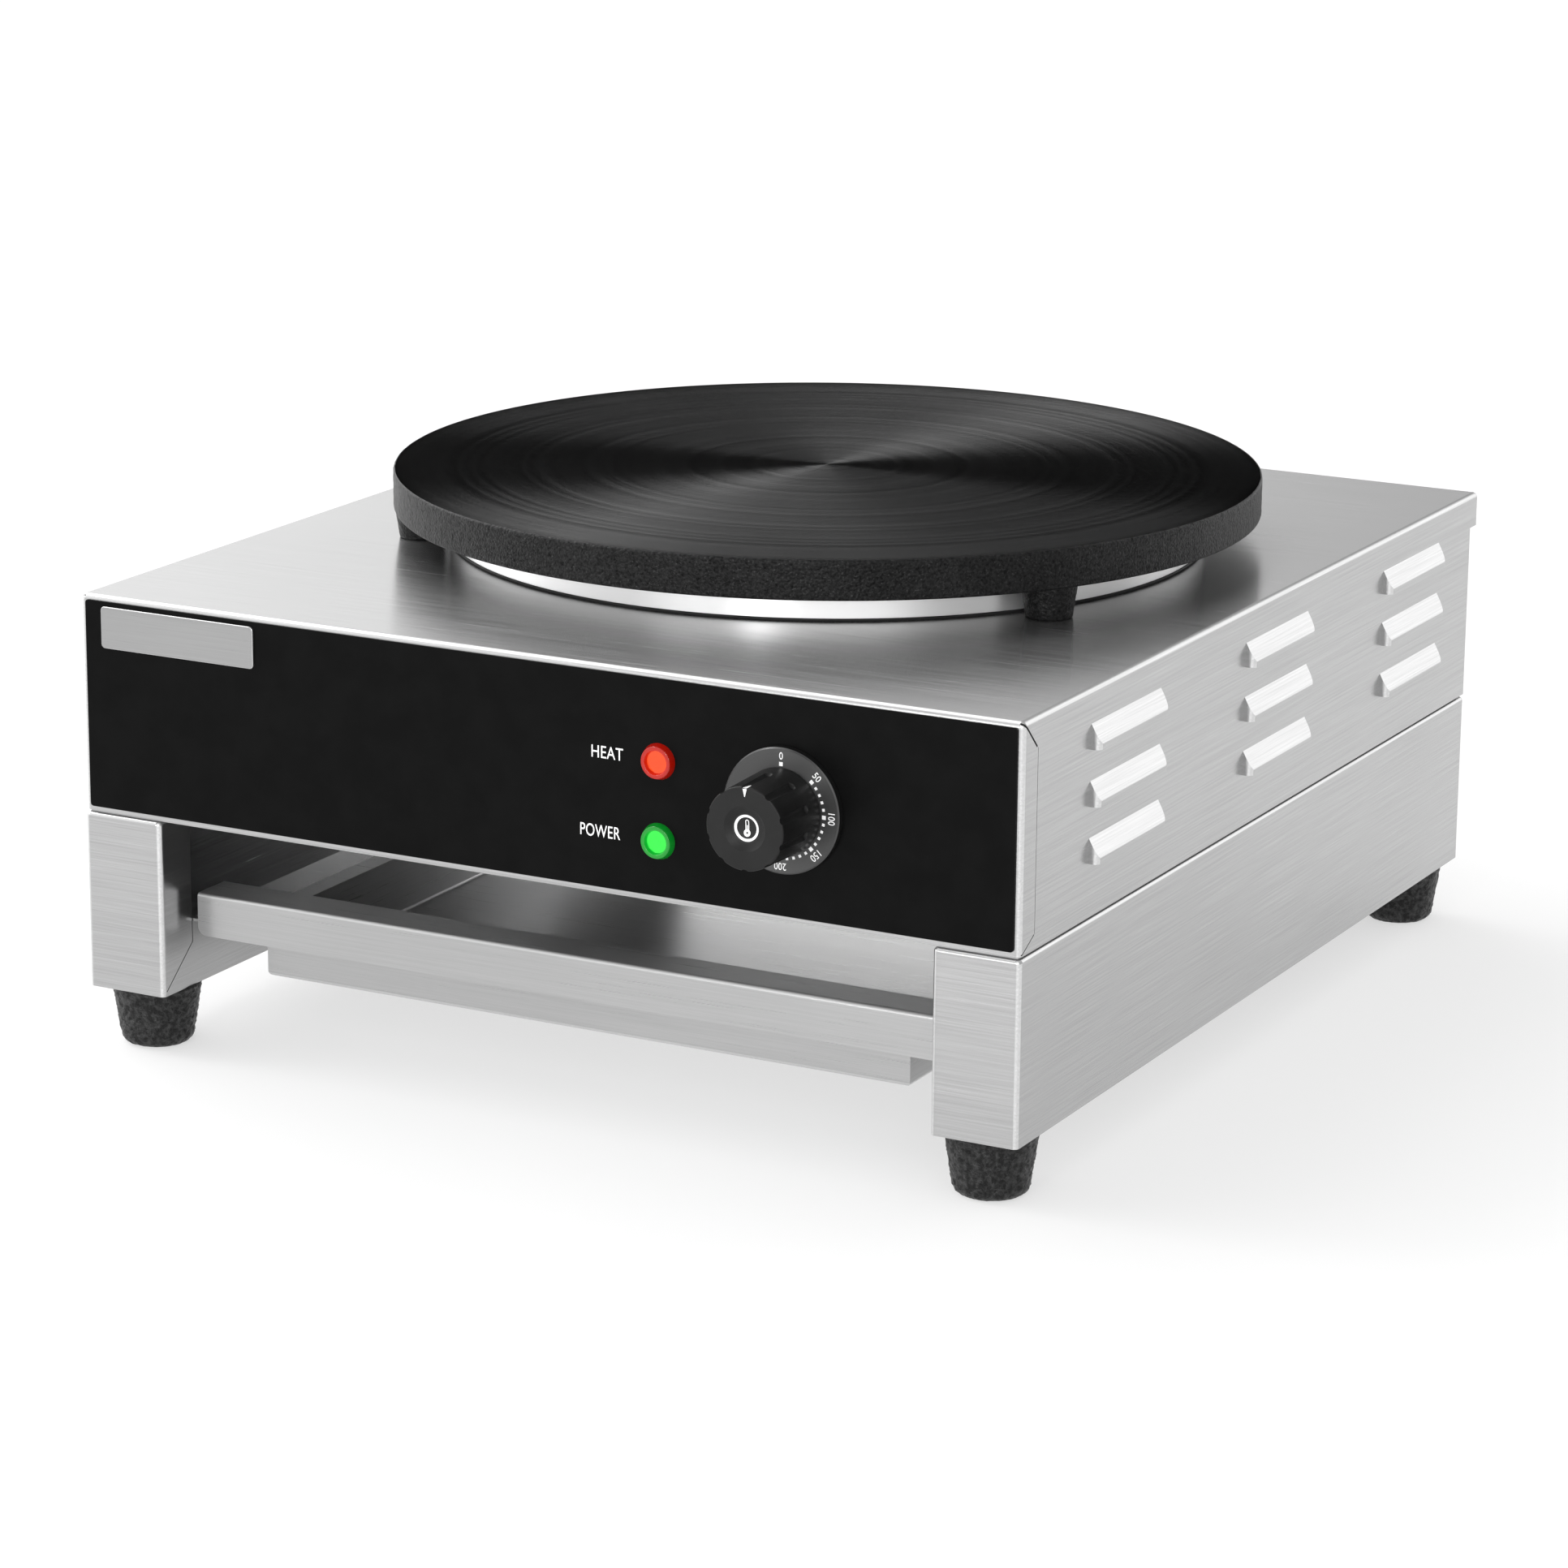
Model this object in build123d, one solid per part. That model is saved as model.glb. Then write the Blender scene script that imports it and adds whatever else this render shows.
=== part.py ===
from build123d import *
import os
from math import atan2, cos, degrees, radians, sin, sqrt

# Single-plate electric crepe griddle, millimetres.
# +X is the right-hand side seen by the cook, +Y points to the back, +Z is up.
# The origin is on the worktop, below the middle of the whole appliance.

# ---- driving dimensions ----
base_width = 460.0          # over the two side channels
base_depth = 500.0
base_height = 81.0
foot_height = 28.0
sheet = 1.2                 # folded stainless sheet
bend = 2.5                  # outside radius of the visible folds
lip_overhang = 10.0         # casing top beyond the back of the base
lip_drop = 16.0
knob_reach = 35.0           # knob face in front of the base
casing_height = 180.5       # casing top above the underside of the base
casing_inset = 0.5          # casing side inside the base side
shadow_gap = 1.0            # seam between base and casing

# ---- places that follow from them ----
front = -(base_depth + lip_overhang - knob_reach) / 2
back = front + base_depth
half_base = base_width / 2
half_case = half_base - casing_inset
base_top = foot_height + base_height
case_low = base_top + shadow_gap
case_top = foot_height + casing_height
case_front = front + 0.6
floor_top = base_top + sheet

# ---- side channels ----
channel_width = 40.0
return_depth = 23.0         # front post folded back along the inside
mitre_rise = 20.0
ledge_height = 31.0         # drawer ledge above the underside of the base
ledge_edge = 165.5          # inner edge of the ledge from the middle
top_flange = 12.0
seam_slot = 0.5

# ---- drip drawer ----
pan_half = 161.0
pan_front = front + 40.0
pan_back = front + 484.0
pan_low = foot_height + 4.0
pan_rim = foot_height + 32.5
rim_flange = 9.0
handle_front = front + 20.0
handle_half = 184.6
handle_low = foot_height + 25.0
handle_top = foot_height + 44.5
handle_corner = 4.0
drawer_travel = 320.0

# ---- cooking plate and heater ----
plate_y = front + 269.5
plate_radius = 200.0
plate_thickness = 18.0
plate_low = foot_height + 195.5
plate_top = plate_low + plate_thickness
leg_circle = 187.0
leg_top_radius = 12.5
leg_low_radius = 10.5
leg_angles = (90.0, 211.5, 328.5)
skirt_radius = 174.0
service_hole = 58.0         # leads and capillary pass down through it
insulation_thickness = 3.4
element_radius = 4.0
inner_loop = 105.0
outer_loop = 150.0
element_bend = 14.0
lead_in_x = 14.0
link_x = -30.0
lead_out_x = -6.0
lead_y = -44.0
stud_radius = 5.0

# ---- control panel ----
fascia_thickness = 0.8
fascia_half = 226.7
fascia_low = foot_height + 84.0
fascia_top = foot_height + 178.0
fascia_front = case_front - fascia_thickness
dial_x = 121.5
dial_z = foot_height + 130.0
dial_radius = 27.0
dial_thickness = 3.5
shaft_radius = 3.0
running_fit = 0.08
lamp_x = 62.0
lamp_heights = {"heat": foot_height + 142.5, "power": foot_height + 108.0}
lens_radius = 7.9
lens_rim_radius = 6.9
lens_height = 3.0
window_radius = 4.9
window_recess = 1.7
badge_left = -218.0
badge_width = 79.5
badge_low = foot_height + 157.2
badge_height = 18.8

# ---- louvres and feet ----
louvre_length = 70.0
louvre_rise = 11.0
louvre_depth = 4.5
louvre_crest = 0.24         # height of the rolled edge as a share of the rise
louvre_roll = 2.2
louvre_columns = (front + 100.0, front + 261.5, front + 423.0)
louvre_rows = (foot_height + 105.5, foot_height + 130.0, foot_height + 154.5)
foot_inset = 21.5
foot_top_radius = 20.0
foot_low_radius = 16.5

# ---- fasteners, wiring and other places shared by several parts ----
bolt_x = half_base - 8.0
panel_screw_heights = (foot_height + 45, foot_height + 68)
bolt_rows = (front + 60, front + 250, front + 440)
rear_screw_heights = (case_low + 22, case_low + 46, case_low + 70)
thermostat_screw_x = (dial_x - 14.0, dial_x + 14.0)
spider_top = plate_low - 2 * element_radius - 0.2
spider_low = case_top + 0.9 + insulation_thickness
lead_end = case_top - 40.0
gland_x = 150.0
gland_z = case_low + 32.0
earth_x = 190.0
cord_bore = 5.6
terminal_x = 140.0
terminal_y = back - 70.0
grip_grooves = 10
groove_radius = 2.4
groove_circle = 19.5
groove_length = 20.0
knob_base_radius = 18.6
knob_face_radius = 17.8
dish_radius = 9.6          # hollow in the knob's face
dish_depth = 2.6
insert_radius = 6.4
insert_seat = 4.4           # depth of the insert's pocket below the knob's face
screw_clearance = 2.1
wire_turn = 4.0
wire_radius = 1.6
floor_slot_rows = 6
floor_slot_pitch = 40.0
floor_slot_x = 95.0
floor_slot_half = 35.0
spider_span = 330.0


def block(x0, x1, y0, y1, z0, z1):
    """Box between two corners."""
    size = (x1 - x0, y1 - y0, z1 - z0)
    centre = ((x0 + x1) / 2, (y0 + y1) / 2, (z0 + z1) / 2)
    return Pos(*centre) * Box(*size)


def rod(x, y, z0, z1, radius):
    """Upright cylinder."""
    return Pos(x, y, (z0 + z1) / 2) * Cylinder(radius, z1 - z0)


def spindle(x, z, y0, y1, radius):
    """Cylinder along Y."""
    return Pos(x, (y0 + y1) / 2, z) * Rot(90, 0, 0) * Cylinder(radius, y1 - y0)


def axle(y, z, x0, x1, radius):
    """Cylinder along X."""
    return Pos((x0 + x1) / 2, y, z) * Rot(0, 90, 0) * Cylinder(radius, x1 - x0)


def cone_rod(x, y, z0, z1, radius0, radius1):
    """Upright cone from radius0 at z0 to radius1 at z1."""
    return Pos(x, y, (z0 + z1) / 2) * Cone(radius0, radius1, z1 - z0)


def hexagon(across_flats, height):
    """Hexagonal prism standing on the XY plane."""
    outline = RegularPolygon(across_flats / sqrt(3), 6)
    return extrude(outline, height)


def tube(points, radius, turn):
    """Round tube through the points with tangent arcs at the corners."""
    path = FilletPolyline(*points, radius=turn)
    profile = Plane(origin=path @ 0, z_dir=path % 0) * Circle(radius)
    return sweep(profile, path=path)


def mirrored(part):
    """The same part on the other side."""
    return mirror(part, about=Plane.YZ)


def edges_on(part, axis, low, high, *places):
    """Edges along an axis whose centre lies at one of the given places."""
    chosen = []
    for edge in part.edges().filter_by(axis):
        centre = edge.center()
        for place in places:
            gap = max(abs(c - p) for c, p in zip(centre, place) if p is not None)
            if gap < 0.01 and low <= edge.length <= high:
                chosen.append(edge)
    return chosen


# ---------------------------------------------------------------- base

def base_side():
    """Left channel: outer wall, front post, inner wall, ledge, all one folding."""
    x0 = -half_base
    x1 = x0 + channel_width
    shell = block(x0, x1, front, back, foot_height, base_top)
    tall = edges_on(shell, Axis.Z, 1, 1000, (x0, front, None), (x0, back, None), (x1, front, None))
    shell = fillet(tall, bend)
    rims = [edge for edge in shell.edges().group_by(Axis.Z)[-1] if edge.center().X < x1 - 0.5]
    shell = fillet(rims, 1.8)
    shell = shell - block(x0 + sheet, x1 - sheet, front + sheet, back - sheet,
                          foot_height + sheet, base_top - sheet)
    ledge_top = foot_height + ledge_height
    window = block(x1 - 2 * sheet, x1 + 1, front + return_depth, back - return_depth,
                   ledge_top, base_top - sheet)
    roof = block(x0 + top_flange, x1 + 1, front + top_flange, back - top_flange,
                 base_top - 2 * sheet, base_top + 1)
    shell = shell - window - roof
    upright_slot = block(x1 - 2 * sheet, x1 + 1, front + return_depth, front + return_depth + seam_slot,
                         foot_height + mitre_rise, ledge_top + 1)
    slope = degrees(atan2(mitre_rise, return_depth))
    length = sqrt(mitre_rise ** 2 + return_depth ** 2) - 3.0
    mitre = Box(3 * sheet, length, seam_slot)
    middle = (x1 - sheet / 2, front + return_depth / 2 + 1.3, foot_height + mitre_rise / 2 + 1.2)
    mitre = Pos(*middle) * Rot(slope, 0, 0) * mitre
    shell = shell - upright_slot - mitre
    ledge = block(x1 - sheet, -ledge_edge, front + return_depth + seam_slot, back - return_depth,
                  ledge_top - sheet, ledge_top)
    shell = shell + ledge
    for y in (front + foot_inset, back - foot_inset):
        shell = shell - rod(x0 + foot_inset, y, foot_height - 1, foot_height + 3, 3.1)
    for y in bolt_rows:
        shell = shell - rod(-bolt_x, y, base_top - 3, base_top + 1, screw_clearance)
    for z in panel_screw_heights:
        shell = shell - axle(back - 10, z, x1 - 3, x1 + 1, 2.0)
    return shell


def base_rear_panel():
    """Back wall of the drawer bay, folded forward against the channels."""
    inner = half_base - channel_width - 0.1
    wall = block(-inner, inner, back - sheet, back, foot_height, base_top - 0.5)
    flange_low = foot_height + ledge_height + 3
    for side in (-1, 1):
        x_out = side * inner
        x_in = side * (inner - sheet)
        wall = wall + block(min(x_out, x_in), max(x_out, x_in), back - 18, back, flange_low, base_top - 2)
    for z in panel_screw_heights:
        wall = wall - axle(back - 10, z, -half_base, half_base, 2.0)
    return wall


def base_panel_screws():
    """Screws from the drawer bay through the rear panel's flanges."""
    solids = []
    for side in (-1, 1):
        for z in panel_screw_heights:
            head = Cylinder(3.5, 2.0)
            shank = Pos(0, 0, 1.0 + 3.5) * Cylinder(1.9, 7.0)
            screw = head + shank
            x = side * (half_base - channel_width - 0.1 - sheet - 1.0)
            solids.append(Pos(x, back - 10, z) * Rot(0, side * 90, 0) * screw)
    return Compound(children=solids)


def foot_places():
    """Centres of the four feet."""
    places = {}
    for name, x in (("left", -1), ("right", 1)):
        places["front_" + name] = (x * (half_base - foot_inset), front + foot_inset)
        places["rear_" + name] = (x * (half_base - foot_inset), back - foot_inset)
    return places


def foot(x, y):
    """Tapered rubber foot with a counterbore for its screw."""
    body = Cone(foot_low_radius, foot_top_radius, foot_height)
    body = fillet(body.edges().sort_by(Axis.Z)[0], 5.0)
    body = Pos(x, y, foot_height / 2) * body
    body = body - rod(x, y, -1, 12, 7.0)
    body = body - rod(x, y, 11, foot_height + 1, 3.2)
    return body


def foot_screws():
    """One M6 screw through each foot."""
    solids = []
    for x, y in foot_places().values():
        head = rod(x, y, 8.0, 12.0, 5.5) - Pos(x, y, 7.9) * hexagon(5.0, 2.5)
        solids.append(head + rod(x, y, 12.0, foot_height + 9, 3.0))
    return Compound(children=solids)


def foot_nuts():
    """M6 nuts inside the channels."""
    solids = []
    for x, y in foot_places().values():
        nut = Pos(x, y, foot_height + sheet) * hexagon(10.0, 5.0)
        solids.append(nut - rod(x, y, foot_height, foot_height + 8, 3.05))
    return Compound(children=solids)


# ---------------------------------------------------------------- drawer

def drip_drawer():
    """Shallow pan with a rim that slides on the ledges and a folded front handle."""
    pan = block(-pan_half, pan_half, pan_front, pan_back, pan_low, pan_rim)
    low_edges = pan.edges().group_by(Axis.Z)[0]
    pan = fillet(low_edges, 2.5)
    inside = block(-pan_half + sheet, pan_half - sheet, pan_front + sheet, pan_back - sheet,
                   pan_low + sheet, pan_rim + 1)
    inside = fillet(inside.edges().group_by(Axis.Z)[0], 1.3)
    pan = pan - inside
    for side in (-1, 1):
        x_out = side * (pan_half + rim_flange)
        x_in = side * (pan_half - sheet)
        pan = pan + block(min(x_out, x_in), max(x_out, x_in), pan_front, pan_back,
                          pan_rim - sheet, pan_rim)
    riser = block(-pan_half, pan_half, pan_front, pan_front + sheet, pan_rim - 2, handle_top)
    grip = block(-handle_half, handle_half, handle_front, pan_front + sheet, handle_low, handle_top)
    corners = edges_on(grip, Axis.Y, 1, 100,
                       (-handle_half, None, handle_low), (handle_half, None, handle_low))
    grip = fillet(corners, handle_corner)
    fold = edges_on(grip, Axis.X, 1, 1000, (None, handle_front, handle_top))
    grip = fillet(fold, 1.8)
    behind = block(-handle_half - 1, handle_half + 1, handle_front + sheet, pan_front + 10,
                   handle_low - 1, handle_top - sheet)
    return pan + riser + (grip - behind)


# ---------------------------------------------------------------- casing

def louvre_hood(x_face, y, z, depth, rise, length):
    """Sloping hood on the left wall with a rolled lower edge and rounded ends."""
    crest = louvre_crest * rise
    outline = Plane.XZ * Polygon((0, rise), (-depth, crest), (-depth, 0), (0, 0), align=None)
    body = Pos(x_face, y + length / 2, z) * extrude(outline, length)
    body = fillet(edges_on(body, Axis.Y, 1, 1000, (x_face - depth, None, z + crest)), louvre_roll)
    ends = Pos(x_face, y, z + rise / 2) * Box(2 * depth, length, 2 * rise)
    ends = fillet(edges_on(ends, Axis.Z, 1, 100, (x_face - depth, None, None)), depth * 0.65)
    return body & ends


def add_louvres(wall):
    """Press the louvres out of the left wall."""
    face = -half_case
    for y in louvre_columns:
        for z in louvre_rows:
            wall = wall + louvre_hood(face, y, z, louvre_depth, louvre_rise, louvre_length)
            throat = louvre_hood(face, y, z - 0.01, louvre_depth - sheet, louvre_rise - sheet,
                                 louvre_length - 2 * sheet)
            slot = block(face - 0.1, face + 2 * sheet, y - louvre_length / 2 + sheet,
                         y + louvre_length / 2 - sheet, z, z + louvre_rise * 0.7)
            wall = wall - throat - slot
    return wall


def seam_cuts():
    """Mitred reliefs and fold seam where the front's flange meets the left wall."""
    reach = 13.0
    face = -half_case
    cuts = block(face - 1, face + 0.4, case_front + reach, case_front + reach + 0.3,
                 case_low + 7, case_top - reach)
    relief = Box(4 * sheet, sqrt(2) * reach - 1.5, 0.9)
    top_middle = (face, case_front + reach / 2 - 0.2, case_top - reach / 2 - 0.2)
    cuts = cuts + Pos(*top_middle) * Rot(-45, 0, 0) * relief
    low_relief = Box(4 * sheet, 13.0, 0.5)
    low_middle = (face, case_front + reach / 2 + 0.5, case_low + 3.6)
    cuts = cuts + Pos(*low_middle) * Rot(28, 0, 0) * low_relief
    return cuts


def casing_cover():
    """Top, front and sides in one folded sheet, with a drip lip at the back."""
    outer = block(-half_case, half_case, case_front, back, case_low, case_top)
    lip = block(-half_case, half_case, back - 5, back + lip_overhang, case_top - lip_drop, case_top)
    shell = outer + lip
    rear = back + lip_overhang
    picked = edges_on(shell, Axis.Z, 1, 1000,
                      (-half_case, case_front, None), (half_case, case_front, None),
                      (-half_case, rear, None), (half_case, rear, None))
    picked += edges_on(shell, Axis.X, 1, 1000, (None, case_front, case_top), (None, rear, case_top))
    picked += edges_on(shell, Axis.Y, 1, 1000, (-half_case, None, case_top), (half_case, None, case_top))
    shell = fillet(picked, bend)
    hollow = block(-half_case + sheet, half_case - sheet, case_front + sheet, back + 1,
                   case_low - 1, case_top - lip_drop)
    hollow = hollow + block(-half_case + sheet, half_case - sheet, case_front + sheet, back - sheet,
                            case_top - lip_drop - 1, case_top - sheet)
    hollow = hollow + block(-half_case + sheet, half_case - sheet, back - 2 * sheet, rear - sheet,
                            case_top - lip_drop + sheet, case_top - sheet)
    shell = shell - hollow
    left = shell & block(-half_case - 10, 0, front - 10, back + 20, case_low - 5, case_top + 5)
    left = add_louvres(left) - seam_cuts()
    shell = left + mirrored(left)
    for side in (-1, 1):
        x_out = side * (half_case - sheet / 2)
        x_in = side * (half_case - 12)
        shell = shell + block(min(x_out, x_in), max(x_out, x_in), back - 4.5, back - 3.3,
                              case_low, case_top - lip_drop)
    shell = shell - rod(0, plate_y, case_top - 5, case_top + 5, service_hole)
    shell = shell - spindle(dial_x, dial_z, case_front - 5, case_front + 5, 6.0)
    for z in lamp_heights.values():
        shell = shell - spindle(lamp_x, z, case_front - 5, case_front + 5, 6.5)
    for x in thermostat_screw_x:
        shell = shell - spindle(x, dial_z, case_front - 5, case_front + 5, screw_clearance)
    for x, z in rear_screw_places():
        shell = shell - spindle(x, z, back - 6, back - 2, screw_clearance)
    return shell


def casing_floor():
    """Floor of the casing with upturned edges, bolted down on the base."""
    half = half_case - sheet - 0.3
    y0 = case_front + sheet + 0.3
    y1 = back - 5.0
    floor = block(-half, half, y0, y1, base_top, base_top + 14.0)
    floor = floor - block(-half + sheet, half - sheet, y0 + sheet, y1 - sheet, floor_top, base_top + 15.0)
    for row in range(floor_slot_rows):
        y = plate_y + (row - 2.5) * floor_slot_pitch
        for side in (-1, 1):
            x = side * floor_slot_x
            floor = floor - block(x - floor_slot_half, x + floor_slot_half, y - 2.5, y + 2.5,
                                  base_top - 1, floor_top + 1)
    for x in (-bolt_x, bolt_x):
        for y in bolt_rows:
            floor = floor - rod(x, y, base_top - 1, floor_top + 1, screw_clearance)
    return floor


def rear_panel():
    """Back wall of the casing with air slots, cord gland hole and earth stud hole."""
    half = half_case - sheet - 0.3
    panel = block(-half, half, back - 3.2, back - 2.0, case_low + 0.5, case_top - lip_drop - 0.5)
    for column in range(9):
        x = -120 + 22 * column
        slot = block(x - 3, x + 3, back - 5, back, case_top - 62, case_top - 32)
        ends = edges_on(slot, Axis.Y, 1, 100, (x - 3, None, None), (x + 3, None, None))
        panel = panel - fillet(ends, 2.9)
    panel = panel - spindle(gland_x, gland_z, back - 6, back, 10.1)
    panel = panel - spindle(earth_x, gland_z, back - 6, back, 3.1)
    for x, z in rear_screw_places():
        panel = panel - spindle(x, z, back - 6, back, screw_clearance)
    return panel


def rear_screw_places():
    """Centres of the screws that hold the rear panel."""
    return [(side * (half_case - 7.0), z) for side in (-1, 1) for z in rear_screw_heights]


def pan_head_screw(x, z, y_face, length, direction):
    """Cross-recessed screw along Y, head outside the face."""
    head = Cylinder(3.8, 2.2)
    head = fillet(head.edges().sort_by(Axis.Z)[-1], 1.2)
    head = head - Pos(0, 0, 0.8) * Box(3.6, 0.9, 1.4) - Pos(0, 0, 0.8) * Box(0.9, 3.6, 1.4)
    screw = Pos(0, 0, 1.1) * head + Pos(0, 0, -length / 2) * Cylinder(2.0, length)
    return Pos(x, y_face, z) * Rot(-90 * direction, 0, 0) * screw


def rear_panel_screws():
    """Six screws through the rear panel."""
    places = rear_screw_places()
    return Compound(children=[pan_head_screw(x, z, back - 2.0, 9.0, 1) for x, z in places])


def chassis_bolts():
    """Bolts from the base's top flanges up through the casing floor."""
    solids = []
    for x in (-bolt_x, bolt_x):
        for y in bolt_rows:
            head = rod(x, y, base_top - sheet - 3.0, base_top - sheet, 3.6)
            solids.append(head + rod(x, y, base_top - sheet, floor_top + 6, 2.0))
    return Compound(children=solids)


def chassis_nuts():
    """Nuts on the casing floor."""
    solids = []
    for x in (-bolt_x, bolt_x):
        for y in bolt_rows:
            nut = Pos(x, y, floor_top) * hexagon(7.0, 3.2)
            solids.append(nut - rod(x, y, floor_top - 1, floor_top + 5, 2.05))
    return Compound(children=solids)


# ---------------------------------------------------------------- control panel

def fascia():
    """Black control panel stuck on the front."""
    plate = block(-fascia_half, fascia_half, fascia_front, case_front, fascia_low, fascia_top)
    plate = fillet(plate.edges().filter_by(Axis.Y), 1.5)
    plate = plate - spindle(dial_x, dial_z, fascia_front - 1, case_front + 1, 6.0)
    for z in lamp_heights.values():
        plate = plate - spindle(lamp_x, z, fascia_front - 1, case_front + 1, 6.5)
    for x in thermostat_screw_x:
        plate = plate - spindle(x, dial_z, fascia_front - 1, case_front + 1, screw_clearance)
    return plate


def badge_plate():
    """Blank metal plate at the left end of the fascia."""
    plate = block(badge_left, badge_left + badge_width, fascia_front - 1.0, fascia_front,
                  badge_low, badge_low + badge_height)
    plate = fillet(plate.edges().filter_by(Axis.Y), 2.0)
    face = plate.faces().sort_by(Axis.Y)[0]
    return fillet(face.edges(), 0.4)


def lamp_lens(z):
    """Coloured lens with a raised rim around its window, in front of the fascia."""
    lens = Cone(lens_radius, lens_rim_radius, lens_height)
    lens = lens - Pos(0, 0, lens_height / 2) * Cone(window_radius, window_radius + 0.7, 2 * window_recess)
    rims = lens.edges().filter_by(GeomType.CIRCLE).group_by(Axis.Z)[-1]
    lens = fillet(rims, 0.4)
    return Pos(lamp_x, fascia_front - lens_height / 2, z) * Rot(90, 0, 0) * lens


def lamp_body(z):
    """Lamp housing through the panel, with its two tabs."""
    body = spindle(lamp_x, z, fascia_front, case_front + 26, 6.3)
    for x in (lamp_x - 2.6, lamp_x + 2.6):
        body = body + block(x - 0.4, x + 0.4, case_front + 25, case_front + 34, z - 2.4, z + 2.4)
    return body


def lamp_clips():
    """Push-on rings that hold the lamps from inside."""
    solids = []
    for z in lamp_heights.values():
        ring = spindle(lamp_x, z, case_front + sheet, case_front + sheet + 2, 10.0)
        solids.append(ring - spindle(lamp_x, z, case_front, case_front + 6, 6.35))
    return Compound(children=solids)


def dial_ring():
    """Fixed scale ring around the knob, hollow behind for the screw heads."""
    ring = spindle(dial_x, dial_z, fascia_front - dial_thickness, fascia_front, dial_radius)
    rim = ring.faces().sort_by(Axis.Y)[0].edges()
    ring = chamfer(rim, 0.6)
    ring = ring - spindle(dial_x, dial_z, fascia_front - dial_thickness - 1, fascia_front + 1, 6.0)
    ring = ring - spindle(dial_x, dial_z, fascia_front - 2.5, fascia_front + 1, 19.0)
    return ring


def dish(y_face):
    """Ball that hollows the knob's face."""
    ball = (dish_radius ** 2 + dish_depth ** 2) / (2 * dish_depth)
    return Pos(dial_x, y_face + dish_depth - ball, dial_z) * Sphere(ball)


def knob():
    """Turning knob with finger grooves, dished face and a bore for the shaft."""
    y_back = fascia_front - dial_thickness - 0.7
    y_face = front - knob_reach
    depth = y_back - y_face
    body = Pos(0, 0, depth / 2) * Cone(knob_base_radius, knob_face_radius, depth)
    body = fillet(body.edges().filter_by(GeomType.CIRCLE).sort_by(Axis.Z)[-1], 0.7)
    for step in range(grip_grooves):
        angle = radians(90 + 360 * step / grip_grooves)
        x = groove_circle * cos(angle)
        y = groove_circle * sin(angle)
        groove = Pos(x, y, depth - groove_length / 2 + 2) * Cylinder(groove_radius, groove_length + 4)
        groove = groove + Pos(x, y, depth - groove_length) * Sphere(groove_radius)
        body = body - groove
    body = body - Cylinder(shaft_radius + 0.03, 2 * 17.0)
    body = body - (Cylinder(15.0, 2 * 12.0) - Cylinder(6.5, 2 * 13.0))
    body = Pos(dial_x, y_back, dial_z) * Rot(90, 0, 0) * body
    body = body - dish(y_face)
    return body - spindle(dial_x, dial_z, y_face, y_face + insert_seat, insert_radius)


def knob_cap():
    """Round insert at the bottom of the dished face."""
    y_face = front - knob_reach
    disc = spindle(dial_x, dial_z, y_face, y_face + insert_seat, insert_radius)
    return disc - dish(y_face)


def thermostat_shaft():
    """Shaft from the thermostat to the knob, with a flat at its outer end."""
    shaft = spindle(dial_x, dial_z, front - 20.0, case_front + 22.0, shaft_radius)
    flat = block(dial_x - 5, dial_x + 5, front - 21.0, front - 9.0, dial_z + 1.9, dial_z + 5)
    return shaft - flat


def thermostat():
    """Control thermostat with its threaded neck and terminal tabs."""
    y0 = case_front + sheet
    body = block(dial_x - 17, dial_x + 17, y0 + 2, y0 + 30, dial_z - 21, dial_z + 21)
    body = fillet(body.edges().filter_by(Axis.Y), 2.0)
    body = body + block(dial_x - 19, dial_x + 19, y0, y0 + 2, dial_z - 15, dial_z + 15)
    body = body + spindle(dial_x, dial_z, fascia_front, y0 + 1, 5.2)
    body = body - spindle(dial_x, dial_z, fascia_front - 1, case_front + 22.6, shaft_radius + running_fit)
    for x in thermostat_screw_x:
        body = body - spindle(x, dial_z, y0 - 1, y0 + 8, 2.05)
    for x in (dial_x - 9, dial_x + 9):
        body = body + block(x - 3.1, x + 3.1, y0 + 30, y0 + 38, dial_z - 12.4, dial_z - 11.6)
    return body


def thermostat_screws():
    """Two screws under the scale ring."""
    places = thermostat_screw_x
    return Compound(children=[pan_head_screw(x, dial_z, fascia_front, 8.0, -1) for x in places])


# ---------------------------------------------------------------- plate and heater

def cooking_plate():
    """Cast plate with turned top, hub boss and three legs in one casting."""
    disc = Cylinder(plate_radius, plate_thickness)
    rims = disc.edges().filter_by(GeomType.CIRCLE).sort_by(Axis.Z)
    disc = fillet([rims[-1]], 1.5)
    rims = disc.edges().filter_by(GeomType.CIRCLE).sort_by(Axis.Z)
    disc = fillet([rims[0]], 1.0)
    plate = Pos(0, plate_y, plate_low + plate_thickness / 2) * disc
    for angle in leg_angles:
        x = leg_circle * cos(radians(angle))
        y = plate_y + leg_circle * sin(radians(angle))
        plate = plate + cone_rod(x, y, case_top, plate_low + 2, leg_low_radius, leg_top_radius)
    hub_low = spider_top
    plate = plate + rod(0, plate_y, hub_low, plate_low + 2, 14.0)
    plate = plate - rod(0, plate_y, hub_low - 1, plate_low + 6, stud_radius + 0.05)
    return plate


def heater_pan():
    """Bright ring under the plate, with a floor that carries the insulation."""
    pan = rod(0, plate_y, case_top, plate_low - 0.6, skirt_radius)
    pan = pan - rod(0, plate_y, case_top + 0.8, plate_low + 1, skirt_radius - 0.8)
    pan = pan - rod(0, plate_y, case_top - 1, plate_low, service_hole)
    return pan


def insulation_pad():
    """Mineral board between the element and the pan floor."""
    low = case_top + 0.9
    pad = rod(0, plate_y, low, low + insulation_thickness, skirt_radius - 2.0)
    return pad - rod(0, plate_y, low - 1, low + insulation_thickness + 1, service_hole)


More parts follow.
